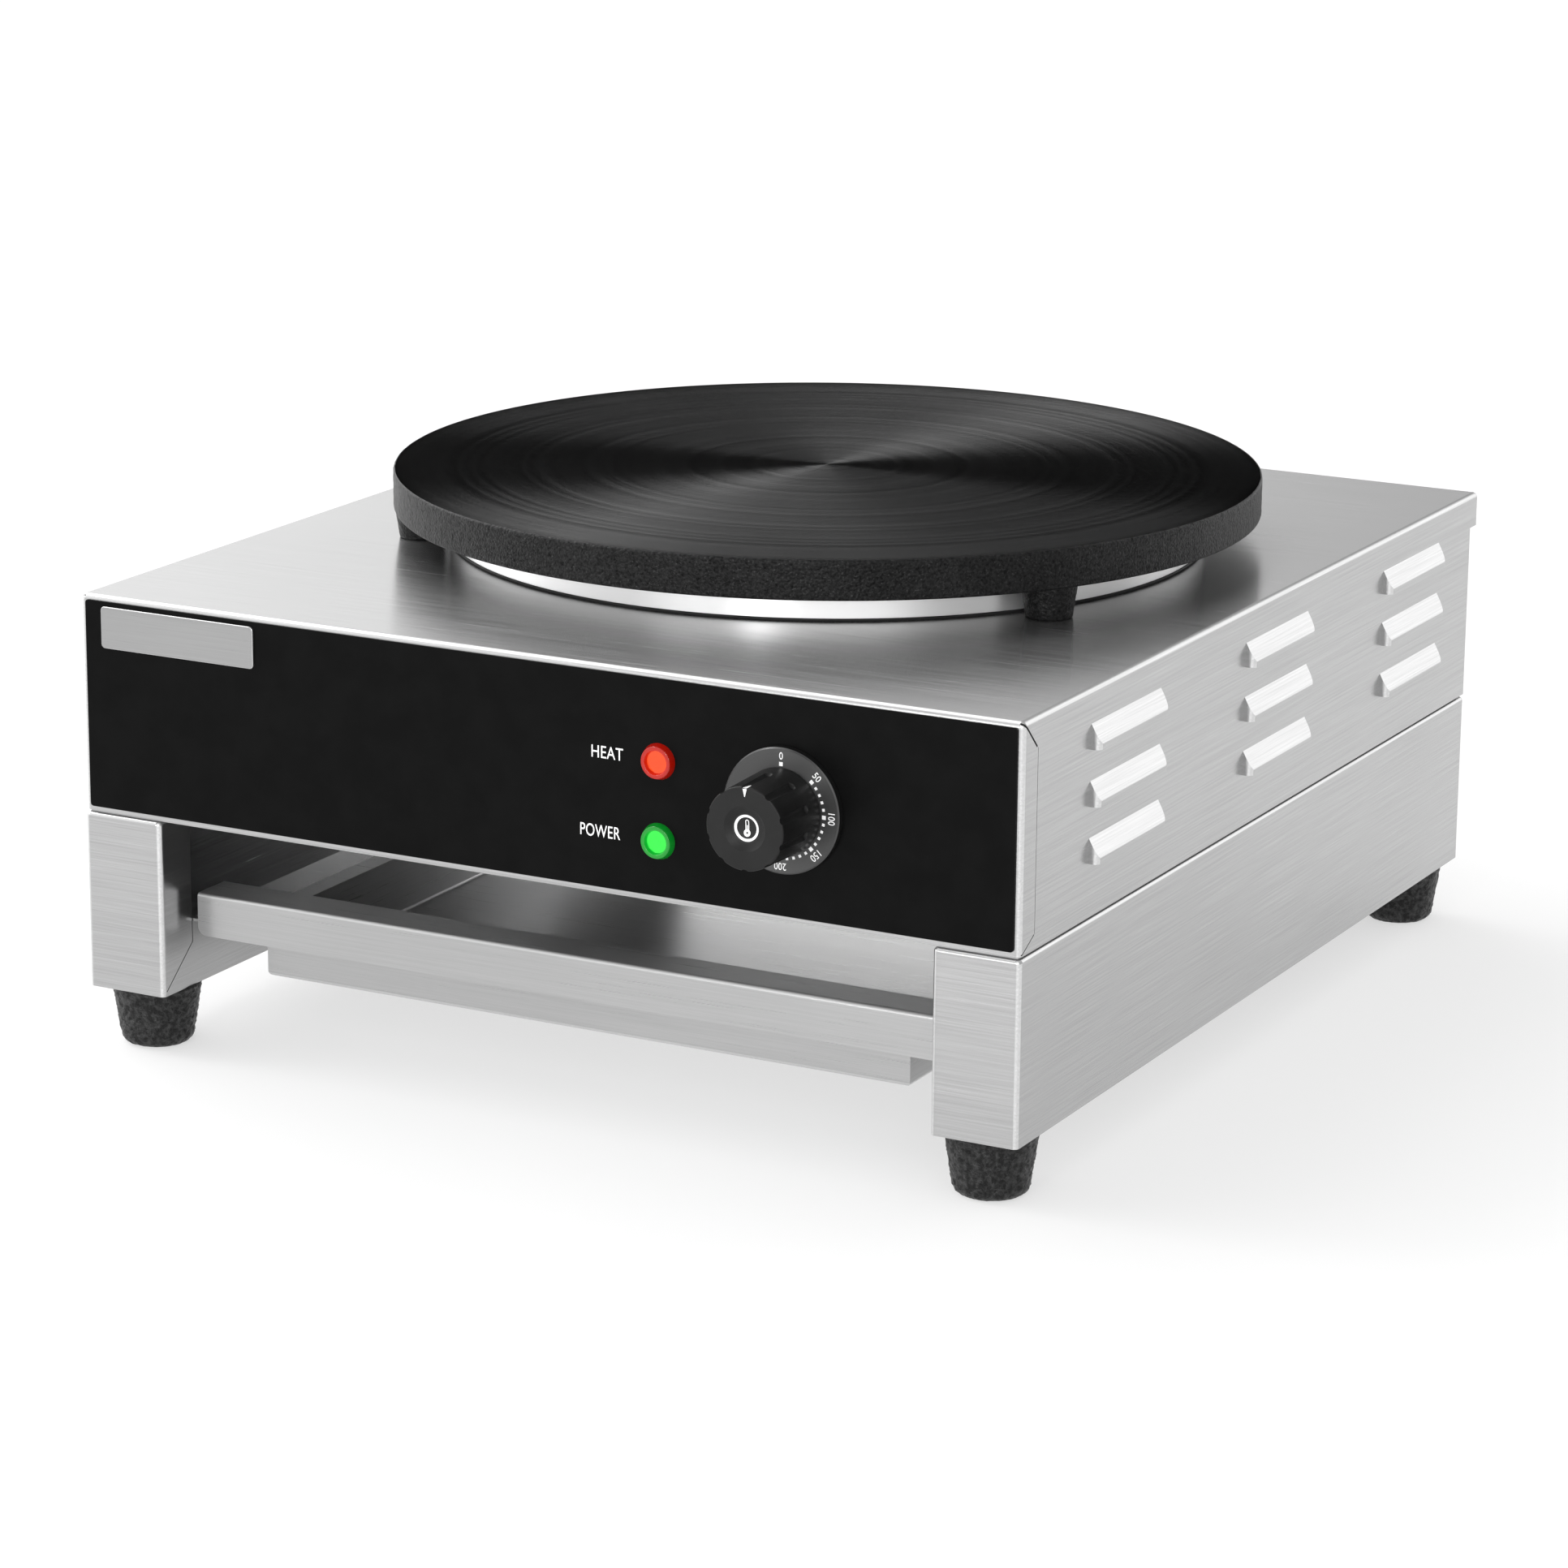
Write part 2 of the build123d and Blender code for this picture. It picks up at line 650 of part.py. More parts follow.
def element_spider():
    """Four-armed bracket that presses the element up against the plate."""
    hub = rod(0, plate_y, spider_low, spider_top, 34.0)
    middle = (spider_low + spider_top) / 2
    for angle in (45, 135):
        arm = Box(spider_span, 16, spider_top - spider_low)
        hub = hub + Pos(0, plate_y, middle) * Rot(0, 0, angle) * arm
    return hub - rod(0, plate_y, spider_low - 1, spider_top + 1, stud_radius + 0.1)


def fillet_height(x, radius):
    """Depth below the centre where a bend centred at x lies on the given circle."""
    return -sqrt(radius ** 2 - x ** 2)


def element_path(z):
    """Plan of the heating element: in, round the inner loop, out, round the outer loop, back in."""
    q = element_bend
    in_x = lead_in_x + q
    in_y = fillet_height(in_x, inner_loop - q)
    in_angle = degrees(atan2(in_y, in_x))
    link = link_x - q
    leave_y = fillet_height(link, inner_loop + q)
    leave_angle = degrees(atan2(leave_y, link))
    join_y = fillet_height(link, outer_loop - q)
    join_angle = degrees(atan2(join_y, link))
    out_x = lead_out_x + q
    out_y = fillet_height(out_x, outer_loop - q)
    out_angle = degrees(atan2(out_y, out_x))
    ground = Plane(origin=(0, plate_y, z))
    pieces = [
        Line((lead_in_x, lead_y), (lead_in_x, in_y)),
        CenterArc((in_x, in_y), q, 180, 180 + in_angle),
        CenterArc((0, 0), inner_loop, in_angle, 360 + leave_angle - in_angle),
        CenterArc((link, leave_y), q, 180 + leave_angle, -(180 + leave_angle)),
        Line((link_x, leave_y), (link_x, join_y)),
        CenterArc((link, join_y), q, 0, join_angle),
        CenterArc((0, 0), outer_loop, join_angle, out_angle - join_angle - 360),
        CenterArc((out_x, out_y), q, out_angle, -180 - out_angle),
        Line((lead_out_x, out_y), (lead_out_x, lead_y)),
    ]
    return Wire([ground.from_local_coords(piece.edge()) for piece in pieces])


def heating_element():
    """Sheathed tube in two loops, with its leads turned down through the casing top."""
    z = plate_low - element_radius - 0.05
    path = element_path(z)
    profile = Plane(origin=path @ 0, z_dir=path % 0) * Circle(element_radius)
    element = sweep(profile, path=path)
    for x in (lead_in_x, lead_out_x):
        y = plate_y + lead_y
        element = element + Pos(x, y, z) * Sphere(element_radius)
        element = element + rod(x, y, lead_end, z, element_radius)
        element = element + rod(x, y, lead_end - 10, lead_end + 1, 1.5)
    return element


def plate_stud():
    """Stud from the plate hub down through the retaining bar."""
    return rod(0, plate_y, case_top - 22, plate_low + 5, stud_radius)


def retaining_bar():
    """Bar under the casing top that bridges the service hole."""
    bar = block(-80, 80, plate_y - 14, plate_y + 14, case_top - sheet - 3.2, case_top - sheet)
    return bar - rod(0, plate_y, case_top - 10, case_top, stud_radius + 0.3)


def stud_nut():
    """Nut and washer that pull the plate down."""
    top = case_top - sheet - 3.2
    washer = rod(0, plate_y, top - 2, top, 10.0)
    nut = Pos(0, plate_y, top - 10) * hexagon(16.0, 8.0)
    return (washer + nut) - rod(0, plate_y, top - 12, top + 1, stud_radius + 0.05)


def sensor_bulb():
    """Thermostat bulb lying against the underside of the plate."""
    z = plate_low - 3.1
    bulb = Pos(0, plate_y + 55, z) * Rot(0, 90, 0) * Cylinder(3.0, 100)
    return fillet(bulb.edges().filter_by(GeomType.CIRCLE), 1.5)


def bulb_clips():
    """Straps that hold the bulb up."""
    solids = []
    for x in (-25, 25):
        y = plate_y + 55
        strap = block(x - 5, x + 5, y - 4.2, y + 4.2, plate_low - 7.2, plate_low)
        strap = strap - block(x - 6, x + 6, y - 3.1, y + 3.1, plate_low - 6.2, plate_low + 1)
        tab = block(x - 5, x + 5, y + 4.2, y + 12, plate_low - 1, plate_low)
        solids.append(strap + tab)
    return Compound(children=solids)


def capillary():
    """Thin tube from the bulb to the back of the thermostat."""
    z = plate_low - 3.1
    drop = case_top - 24
    points = [
        (-50.2, plate_y + 55, z),
        (-62, plate_y + 55, z),
        (-62, plate_y + 22, z),
        (-40, plate_y + 22, z),
        (-40, plate_y + 22, drop),
        (dial_x - 8, plate_y + 22, drop),
        (dial_x - 8, front + 70, drop),
        (dial_x - 8, front + 70, dial_z + 8),
        (dial_x - 8, case_front + sheet + 30.1, dial_z + 8),
    ]
    return tube(points, 1.0, 5.0)


# ---------------------------------------------------------------- electrical

def terminal_block():
    """Three-way mains terminal block on the casing floor."""
    x, y = terminal_x, terminal_y
    body = block(x - 28, x + 28, y - 10, y + 10, floor_top, floor_top + 18)
    for step in (-18, 0, 18):
        body = body - rod(x + step, y - 5, floor_top + 9, floor_top + 19, 3.2)
        body = body - rod(x + step, y + 5, floor_top + 9, floor_top + 19, 3.2)
    for step in (-9, 9):
        body = body - block(x + step - 0.8, x + step + 0.8, y - 11, y + 11, floor_top + 12, floor_top + 19)
    return body


def terminal_screws():
    """Clamping screws in the terminal block."""
    solids = []
    for step in (-18, 0, 18):
        for side in (-5, 5):
            screw = rod(terminal_x + step, terminal_y + side, floor_top + 9.5, floor_top + 14, 3.0)
            slit = block(terminal_x + step - 2.6, terminal_x + step + 2.6, terminal_y + side - 0.4,
                         terminal_y + side + 0.4, floor_top + 13, floor_top + 15)
            solids.append(screw - slit)
    return Compound(children=solids)


def cord_gland():
    """Gland body and dome nut in the rear panel, open for the cord."""
    outside = back - 2.0
    body = Pos(gland_x, outside, gland_z) * Rot(-90, 0, 0) * hexagon(24.0, 5.0)
    body = body + spindle(gland_x, gland_z, outside - 16, outside + 8, 10.0)
    dome = spindle(gland_x, gland_z, outside + 5, outside + 11.5, 11.5)
    dome = fillet(dome.faces().sort_by(Axis.Y)[-1].edges(), 3.0)
    body = body + dome
    return body - spindle(gland_x, gland_z, outside - 17, outside + 13, cord_bore)


def gland_nut():
    """Lock nut inside the rear panel."""
    inside = back - 3.2
    nut = Pos(gland_x, inside - 5, gland_z) * Rot(-90, 0, 0) * hexagon(24.0, 5.0)
    return nut - spindle(gland_x, gland_z, inside - 6, inside + 1, 10.05)


def earth_stud():
    """Bonding stud with its two nuts on the rear panel."""
    stud = spindle(earth_x, gland_z, back - 14, back + 9, 3.0)
    for y in (back - 2.0, back - 3.2 - 4.8):
        stud = stud + Pos(earth_x, y, gland_z) * Rot(-90, 0, 0) * hexagon(10.0, 4.8)
    return stud


def internal_wiring():
    """Insulated wires between block, thermostat and element."""
    high = floor_top + 26
    block_y = terminal_y - 5
    screw_z = floor_top + 14.2
    lead_y_place = plate_y + lead_y
    lead_tip = lead_end - 11
    tab_y = case_front + sheet + 39
    tab_z = dial_z - 12
    turn_y = tab_y + 22
    routes = [
        [(terminal_x - 18, block_y, screw_z), (terminal_x - 18, block_y, high),
         (lead_out_x, block_y, high), (lead_out_x, lead_y_place, high),
         (lead_out_x, lead_y_place, lead_tip)],
        [(terminal_x, block_y, screw_z), (terminal_x, block_y, high + 6),
         (terminal_x, lead_y_place, high + 6), (dial_x + 9, turn_y + 20, high + 6),
         (dial_x + 9, turn_y, tab_z), (dial_x + 9, tab_y, tab_z)],
        [(dial_x - 9, tab_y, tab_z), (dial_x - 9, turn_y, tab_z), (dial_x - 9, turn_y, high - 8),
         (lead_in_x, turn_y, high - 8), (lead_in_x, lead_y_place, high - 8),
         (lead_in_x, lead_y_place, lead_tip)],
    ]
    return Compound(children=[tube(route, wire_radius, wire_turn) for route in routes])


left_side = base_side()
nodes = {
    "base_side_left": left_side,
    "base_side_right": mirrored(left_side),
    "base_rear_panel": base_rear_panel(),
    "base_panel_screws": base_panel_screws(),
    "foot_screws": foot_screws(),
    "foot_nuts": foot_nuts(),
    "drip_drawer": drip_drawer(),
    "casing_cover": casing_cover(),
    "casing_floor": casing_floor(),
    "rear_panel": rear_panel(),
    "rear_panel_screws": rear_panel_screws(),
    "chassis_bolts": chassis_bolts(),
    "chassis_nuts": chassis_nuts(),
    "fascia": fascia(),
    "badge_plate": badge_plate(),
    "lamp_clips": lamp_clips(),
    "dial_ring": dial_ring(),
    "knob": knob(),
    "knob_cap": knob_cap(),
    "thermostat_shaft": thermostat_shaft(),
    "thermostat": thermostat(),
    "thermostat_screws": thermostat_screws(),
    "cooking_plate": cooking_plate(),
    "heater_pan": heater_pan(),
    "insulation_pad": insulation_pad(),
    "element_spider": element_spider(),
    "heating_element": heating_element(),
    "plate_stud": plate_stud(),
    "retaining_bar": retaining_bar(),
    "stud_nut": stud_nut(),
    "sensor_bulb": sensor_bulb(),
    "bulb_clips": bulb_clips(),
    "capillary": capillary(),
    "terminal_block": terminal_block(),
    "terminal_screws": terminal_screws(),
    "cord_gland": cord_gland(),
    "gland_nut": gland_nut(),
    "earth_stud": earth_stud(),
    "internal_wiring": internal_wiring(),
}
for place, (foot_x, foot_y) in foot_places().items():
    nodes["foot_" + place] = foot(foot_x, foot_y)
for lamp, lamp_z in lamp_heights.items():
    nodes[lamp + "_lamp_lens"] = lamp_lens(lamp_z)
    nodes[lamp + "_lamp_body"] = lamp_body(lamp_z)

os.makedirs("parts", exist_ok=True)
for name, shape in nodes.items():
    export_step(shape, "parts/" + name + ".step")
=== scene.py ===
import math
import bmesh
import bpy
from mathutils import Matrix, Vector, noise


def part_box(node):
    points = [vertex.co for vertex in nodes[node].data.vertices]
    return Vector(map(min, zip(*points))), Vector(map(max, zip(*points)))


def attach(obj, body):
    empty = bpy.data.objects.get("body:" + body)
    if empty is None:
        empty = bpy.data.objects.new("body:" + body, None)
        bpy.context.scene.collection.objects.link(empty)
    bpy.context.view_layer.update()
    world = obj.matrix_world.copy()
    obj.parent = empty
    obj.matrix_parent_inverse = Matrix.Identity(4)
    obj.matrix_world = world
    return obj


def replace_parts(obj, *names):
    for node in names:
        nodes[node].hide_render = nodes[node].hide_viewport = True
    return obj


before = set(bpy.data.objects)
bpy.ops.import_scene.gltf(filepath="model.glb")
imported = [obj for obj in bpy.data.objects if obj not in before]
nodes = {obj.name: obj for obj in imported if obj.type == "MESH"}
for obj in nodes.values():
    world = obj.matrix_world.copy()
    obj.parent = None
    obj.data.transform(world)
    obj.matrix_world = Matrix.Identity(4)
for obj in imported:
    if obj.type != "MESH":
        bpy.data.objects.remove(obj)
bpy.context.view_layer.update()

MM = 0.001

# cooking plate and its legs
PLATE_THICKNESS = 18.0 * MM
PLATE_TOP_BEND = 1.5 * MM
PLATE_LOW_BEND = 1.0 * MM
PLATE_STEPS = 960
FACE_RINGS = 12
WALL_RINGS = 14
RIM_WIDTH = 12.0 * MM
BOSS_RADIUS = 14.0 * MM
BOSS_HEIGHT = 8.0 * MM
LEG_CIRCLE = 187.0 * MM
LEG_TOP_RADIUS = 12.5 * MM
LEG_LOW_RADIUS = 10.5 * MM
LEG_ANGLES = (90.0, 211.5, 328.5)
LEG_OVERLAP = 1.0 * MM
LEG_BEND = 1.2 * MM
LEG_ROWS = 24
LEG_STEPS = 72
CAST_SKIN_SIZE = 2.4 * MM
PLATE_SKIN_DEPTH = 0.16 * MM
LEG_SKIN_DEPTH = 0.22 * MM

# rubber feet, and a black ring painted as the shadow line round the foot of the heater ring
FOOT_NAMES = ("foot_front_left", "foot_front_right", "foot_rear_left", "foot_rear_right")
FOOT_LOW_RADIUS = 16.5 * MM
FOOT_TOP_BEND = 0.8 * MM
FOOT_LOW_BEND = 5.0 * MM
FOOT_ROWS = 26
FOOT_STEPS = 120
FOOT_BORE = 3.2 * MM
FOOT_COUNTERBORE = 7.0 * MM
FOOT_COUNTERBORE_DEPTH = 12.0 * MM
FOOT_SKIN_DEPTH = 0.5 * MM
FOOT_SKIN_SIZE = 2.6 * MM
SHADE_RING_OUTSIDE = 0.5 * MM
SHADE_RING_WIDTH = 0.45 * MM
SHADE_RING_HEIGHT = 1.3 * MM
SHADE_RING_STEPS = 256

# printing on the panel and the dial
INK_DEPTH = 0.08 * MM
INK_STAND = 0.02 * MM      # height of the middle of a mark over its surface
INK_BOLD = 0.02 * MM
CAPITAL_SHARE = 0.73      # height of a capital as a share of the type size
WORDS = (                 # word, its lamp, gap from the lamp's middle in mm, width factor
    ("HEAT", "heat_lamp_lens", 16.9, 0.80),
    ("POWER", "power_lamp_lens", 18.4, 0.72),
)
WORD_HEIGHT = 5.6 * MM
WORD_RISE = 0.2 * MM
DIGIT_HEIGHT = 3.2 * MM
DIGIT_INSET = 3.6 * MM
TICK_INSET = 6.9 * MM
TICK_LARGE, TICK_SMALL = 0.85 * MM, 0.6 * MM

# knob
DISH_RADIUS, DISH_DEPTH = 9.6 * MM, 2.6 * MM
GROOVE_CIRCLE, GROOVE_RADIUS = 19.5 * MM, 2.4 * MM
INK_LIFT = 0.05 * MM

WINDOW_RADIUS = 5.0 * MM  # bright window of each lamp

# room
WORLD_TOP = 0.58                # brightness overhead
WORLD_TURN = (-0.62, -0.20)     # cosines over which the horizon changes from left to right
WORLD_LOW = (1.45, 0.50)        # brightness near the horizon, from left to right
WORLD_RISE = (0.33, 0.70)       # heights over which the horizon turns into the overhead tone
SOFT_BOXES = (                  # direction, cosines of its soft edge, brightness
    ((0.40, 0.86, 0.30), (0.88, 0.97), 1.0),
    ((-0.74, 0.04, 0.66), (0.76, 0.95), 2.0),
    ((0.45, -0.86, 0.24), (0.84, 0.96), 1.5),
)

# ---------------------------------------------------------------- node helpers


class Graph:
    """A material's node tree with short ways to add and join nodes."""

    def __init__(self, name):
        self.material = bpy.data.materials.new(name)
        self.material.use_nodes = True
        self.tree = self.material.node_tree
        self.shader = self.tree.nodes["Principled BSDF"]

    def node(self, kind, **settings):
        made = self.tree.nodes.new(kind)
        for key, value in settings.items():
            setattr(made, key, value)
        return made

    def put(self, value, socket):
        """Joins an output to the socket, or sets the socket to a constant."""
        if isinstance(value, bpy.types.NodeSocket):
            self.tree.links.new(value, socket)
        else:
            socket.default_value = value

    def set(self, **values):
        """Sets the shader's own sockets: base_color=..., roughness=..."""
        names = {s.name.lower().replace(" ", "_"): s for s in self.shader.inputs}
        for key, value in values.items():
            self.put(value, names[key])

    def math(self, operation, a, b=0.0):
        n = self.node("ShaderNodeMath", operation=operation)
        self.put(a, n.inputs[0])
        self.put(b, n.inputs[1])
        return n.outputs[0]

    def place(self):
        """Position on the object, in metres."""
        return self.node("ShaderNodeTexCoord").outputs["Object"]

    def normal(self):
        return self.node("ShaderNodeNewGeometry").outputs["Normal"]

    def split(self, vector):
        n = self.node("ShaderNodeSeparateXYZ")
        self.put(vector, n.inputs[0])
        return n.outputs

    def join(self, x, y, z):
        n = self.node("ShaderNodeCombineXYZ")
        for value, socket in zip((x, y, z), n.inputs):
            self.put(value, socket)
        return n.outputs[0]

    def stretch(self, vector, scale):
        n = self.node("ShaderNodeVectorMath", operation="MULTIPLY")
        self.put(vector, n.inputs[0])
        n.inputs[1].default_value = scale
        return n.outputs[0]

    def noise(self, vector, scale=1.0, detail=3.0, rough=0.5):
        n = self.node("ShaderNodeTexNoise")
        self.put(vector, n.inputs["Vector"])
        n.inputs["Scale"].default_value = scale
        n.inputs["Detail"].default_value = detail
        n.inputs["Roughness"].default_value = rough
        return n.outputs["Fac"]

    def cells(self, vector, scale):
        n = self.node("ShaderNodeTexVoronoi")
        self.put(vector, n.inputs["Vector"])
        n.inputs["Scale"].default_value = scale
        return n.outputs["Distance"]

    def remap(self, value, low0, high0, low1, high1):
        n = self.node("ShaderNodeMapRange")
        self.put(value, n.inputs["Value"])
        for name, v in (("From Min", low0), ("From Max", high0), ("To Min", low1), ("To Max", high1)):
            n.inputs[name].default_value = v
        return n.outputs["Result"]

    def blend(self, factor, a, b):
        """Number blend."""
        n = self.node("ShaderNodeMix", data_type="FLOAT")
        self.put(factor, n.inputs[0])
        self.put(a, n.inputs[2])
        self.put(b, n.inputs[3])
        return n.outputs[0]

    def mix_color(self, factor, a, b):
        n = self.node("ShaderNodeMix", data_type="RGBA")
        self.put(factor, n.inputs[0])
        self.put(a, n.inputs[6])
        self.put(b, n.inputs[7])
        return n.outputs[2]

    def mix_vector(self, factor, a, b):
        n = self.node("ShaderNodeMix", data_type="VECTOR")
        self.put(factor, n.inputs[0])
        self.put(a, n.inputs[4])
        self.put(b, n.inputs[5])
        return n.outputs[1]

    def bump(self, height, depth, strength=1.0, under=None):
        n = self.node("ShaderNodeBump")
        n.inputs["Strength"].default_value = strength
        n.inputs["Distance"].default_value = depth
        self.put(height, n.inputs["Height"])
        if under is not None:
            self.put(under, n.inputs["Normal"])
        return n.outputs["Normal"]


def grey(value, warm=0.0):
    return (value * (1 + warm), value, value * (1 - warm), 1.0)


# ---------------------------------------------------------------- materials


def brushed_steel(name, tone=0.46, roughness=0.24, anisotropic=0.75, grain=1.0, metallic=0.95, fold_highlight_tone=0.62):
    """Stainless sheet, brushed along X on top and front and along Y on the sides.
    Folds and pressed edges get a brighter tone from the way their surface faces: a painted highlight in place
    of the light off the bends."""
    g = Graph(name)
    place = g.place()
    parts = g.split(g.normal())
    across = [g.math("ABSOLUTE", parts[i]) for i in range(3)]
    side = g.math("GREATER_THAN", across[0], 0.72)
    flatness = g.math("MAXIMUM", across[0], g.math("MAXIMUM", across[1], across[2]))
    # painted highlight: surfaces that turn away from flat, at folds, louvres and pressed edges, get a
    # brighter tone
    fold_highlight_mask = g.remap(flatness, 0.992, 0.93, 0.0, 1.0)

    def streaks(along, over, detail, rough):
        lines_x = g.noise(g.stretch(place, (along, over, over)), 1.0, detail, rough)
        lines_y = g.noise(g.stretch(place, (over, along, over)), 1.0, detail, rough)
        return g.blend(side, lines_x, lines_y)

    fine = streaks(14.0, 1500.0, 4.0, 0.65)
    wide = streaks(8.0, 330.0, 5.0, 0.62)
    cloud = g.noise(place, 7.0, 2.0)
    tint = g.math("MULTIPLY", g.remap(fine, 0.3, 0.7, 1 - 0.10 * grain, 1 + 0.10 * grain),
                  g.remap(wide, 0.3, 0.7, 1 - 0.015 * grain, 1 + 0.015 * grain))
    tint = g.math("MULTIPLY", tint, g.remap(cloud, 0.3, 0.7, 0.98, 1.02))
    # painted highlight on folds: upright folds get 1.45 times the tone, level folds get the fold highlight
    # tone
    fold_highlight_by_facing = g.remap(across[2], 0.10, 0.25, tone * 1.45, fold_highlight_tone)
    tint = g.math("MULTIPLY", tint, g.blend(fold_highlight_mask, tone, fold_highlight_by_facing))
    g.set(
        base_color=g.join(tint, tint, g.math("MULTIPLY", tint, 1.002)),
        metallic=metallic,
        roughness=g.math("ADD", g.remap(wide, 0.3, 0.7, roughness - 0.015, roughness + 0.015),
                         g.remap(fine, 0.3, 0.7, -0.03, 0.03)),
        anisotropic=anisotropic,
        tangent=g.mix_vector(g.math("GREATER_THAN", across[2], 0.72), (0.0, 0.0, 1.0), (0.0, 1.0, 0.0)),
        normal=g.bump(g.math("ADD", fine, wide), 0.00002, 0.5 * grain),
    )
    return g.material


def plain_metal(name, color, roughness):
    """Turned, plated or drawn metal with a slight random texture."""
    g = Graph(name)
    place = g.place()
    grain = g.noise(place, 900.0, 3.0, 0.6)
    blotch = g.noise(place, 54.0, 2.0)
    dark = tuple(c * 0.86 for c in color[:3]) + (1.0,)
    g.set(
        base_color=g.mix_color(g.remap(blotch, 0.35, 0.65, 0.0, 1.0), dark, color),
        metallic=1.0,
        roughness=g.remap(grain, 0.3, 0.7, roughness * 0.85, roughness * 1.15),
        normal=g.bump(grain, 0.00002, 0.6),
    )
    return g.material


def moulding(name, color, roughness, specular=0.3, scale=1500.0, depth=0.00004, strength=0.5, glint=0.0):
    """Moulded plastic or rubber with a fine eroded grain; glint makes its high spots shine more."""
    g = Graph(name)
    place = g.place()
    grain = g.noise(place, scale, 4.0, 0.6)
    blotch = g.noise(place, scale * 0.03, 3.0)
    dark = tuple(c * 0.8 for c in color[:3]) + (1.0,)
    light = tuple(min(1.0, c * 1.15) for c in color[:3]) + (1.0,)
    g.set(
        base_color=g.mix_color(g.remap(blotch, 0.35, 0.65, 0.0, 1.0), dark, light),
        roughness=g.remap(grain, 0.3, 0.7, roughness - 0.05, roughness + 0.05),
        specular_ior_level=specular,
        normal=g.bump(grain, depth, strength),
    )
    if glint:
        shine = g.remap(grain, 0.42, 0.66, specular * (1 - glint), specular * (1 + glint))
        g.set(specular_ior_level=shine)
    return g.material


def about_axis(g, node, axes):
    """Offsets from a node's centre in the plane named by two axis numbers, and their length."""
    low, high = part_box(node)
    middle = (low + high) / 2
    parts = g.split(g.place())
    a = g.math("SUBTRACT", parts[axes[0]], middle[axes[0]])
    b = g.math("SUBTRACT", parts[axes[1]], middle[axes[1]])
    reach = g.math("SQRT", g.math("ADD", g.math("MULTIPLY", a, a), g.math("MULTIPLY", b, b)))
    return a, b, reach


def turned_black():
    """Turned and seasoned cooking surface: concentric tool marks with a fine tooth."""
    g = Graph("turned_black")
    place = g.place()
    a, b, reach = about_axis(g, "heater_pan", (0, 1))
    outward = g.join(reach, 0.0, 0.0)
    rings = g.noise(outward, 700.0, 3.0, 0.7)
    wide_rings = g.noise(outward, 170.0, 3.0, 0.7)
    tooth = g.noise(place, 1500.0, 3.0, 0.6)
    cloud = g.noise(place, 14.0, 3.0)
    tone = g.math("MULTIPLY", g.remap(wide_rings, 0.3, 0.7, 0.028, 0.068),
                  g.remap(cloud, 0.3, 0.7, 0.90, 1.10))
    tone = g.math("ADD", tone, g.remap(tooth, 0.35, 0.75, -0.010, 0.020))
    rough = g.math("ADD", g.remap(rings, 0.3, 0.7, 0.48, 0.60), g.remap(tooth, 0.3, 0.7, -0.05, 0.05))
    under = g.bump(tooth, 0.00006, 0.5)
    g.set(
        base_color=g.join(tone, tone, tone),
        metallic=1.0,
        specular_tint=grey(0.10),
        roughness=rough,
        anisotropic=0.88,
        tangent=g.join(a, b, 0.0),
        normal=g.bump(g.math("ADD", rings, wide_rings), 0.00005, 0.6, under),
    )
    return g.material


def raw_casting():
    """Black cast iron as it left the mould: pitted, with glossy high spots."""
    g = Graph("raw_casting")
    place = g.place()
    cast = g.noise(place, 760.0, 4.0, 0.6)
    pits = g.cells(place, 900.0)
    wear = g.remap(g.noise(place, 1100.0, 2.0, 0.7), 0.60, 0.74, 0.0, 1.0)
    cloud = g.noise(place, 30.0, 3.0)
    tone = g.math("MULTIPLY", g.remap(cast, 0.3, 0.7, 0.006, 0.014), g.remap(cloud, 0.3, 0.7, 0.7, 1.3))
    tone = g.math("ADD", tone, g.math("MULTIPLY", wear, 0.02))
    g.set(specular_ior_level=0.18)
    g.set(
        base_color=g.join(tone, tone, g.math("MULTIPLY", tone, 1.01)),
        specular_ior_level=g.math("ADD", g.remap(cast, 0.3, 0.7, 0.04, 0.26),
                                  g.math("MULTIPLY", wear, 0.30)),
        roughness=g.remap(cast, 0.3, 0.7, 0.26, 0.42),
        normal=g.bump(g.math("ADD", cast, g.math("MULTIPLY", pits, 0.5)), 0.0006, 0.7),
    )
    return g.material


def dial_metal():
    """Dark anodised scale ring, turned, so that the light makes a wedge on it."""
    g = Graph("dial_metal")
    a, c, reach = about_axis(g, "dial_ring", (0, 2))
    rings = g.noise(g.join(reach, 0.0, 0.0), 2600.0, 3.0, 0.7)
    speck = g.noise(g.place(), 2500.0, 2.0)
    g.set(
        base_color=g.mix_color(rings, grey(0.075), grey(0.105)),
        metallic=0.9,
        roughness=g.math("ADD", g.remap(rings, 0.3, 0.7, 0.30, 0.38), g.remap(speck, 0.3, 0.7, -0.03, 0.03)),
        anisotropic=0.85,
        tangent=g.join(a, 0.0, c),
        normal=g.bump(rings, 0.00002, 0.4),
    )
    return g.material


def lamp_plastic(name, lens_node, tint, rim_glow, window_glow):
    """Coloured clear plastic, lit from behind: a bright window and a dim raised rim."""
    g = Graph(name)
    reach = about_axis(g, lens_node, (0, 2))[2]
    uneven = g.noise(g.place(), 420.0, 2.0)
    window = g.math("MULTIPLY", g.remap(reach, WINDOW_RADIUS, WINDOW_RADIUS * 0.93, 0.0, 1.0),
                    g.math("GREATER_THAN", g.math("ABSOLUTE", g.split(g.normal())[1]), 0.9))
    halo = g.remap(reach, WINDOW_RADIUS * 1.6, WINDOW_RADIUS, 0.02, 0.30)
    power = g.math("MULTIPLY", g.blend(window, halo, 1.0), g.remap(uneven, 0.3, 0.7, 0.94, 1.04))
    g.set(
        base_color=g.mix_color(window, tint, grey(0.0)),
        roughness=g.remap(uneven, 0.3, 0.7, 0.10, 0.16),
        specular_ior_level=0.55,
        emission_color=g.mix_color(window, rim_glow, window_glow),
        emission_strength=power,
    )
    return g.material


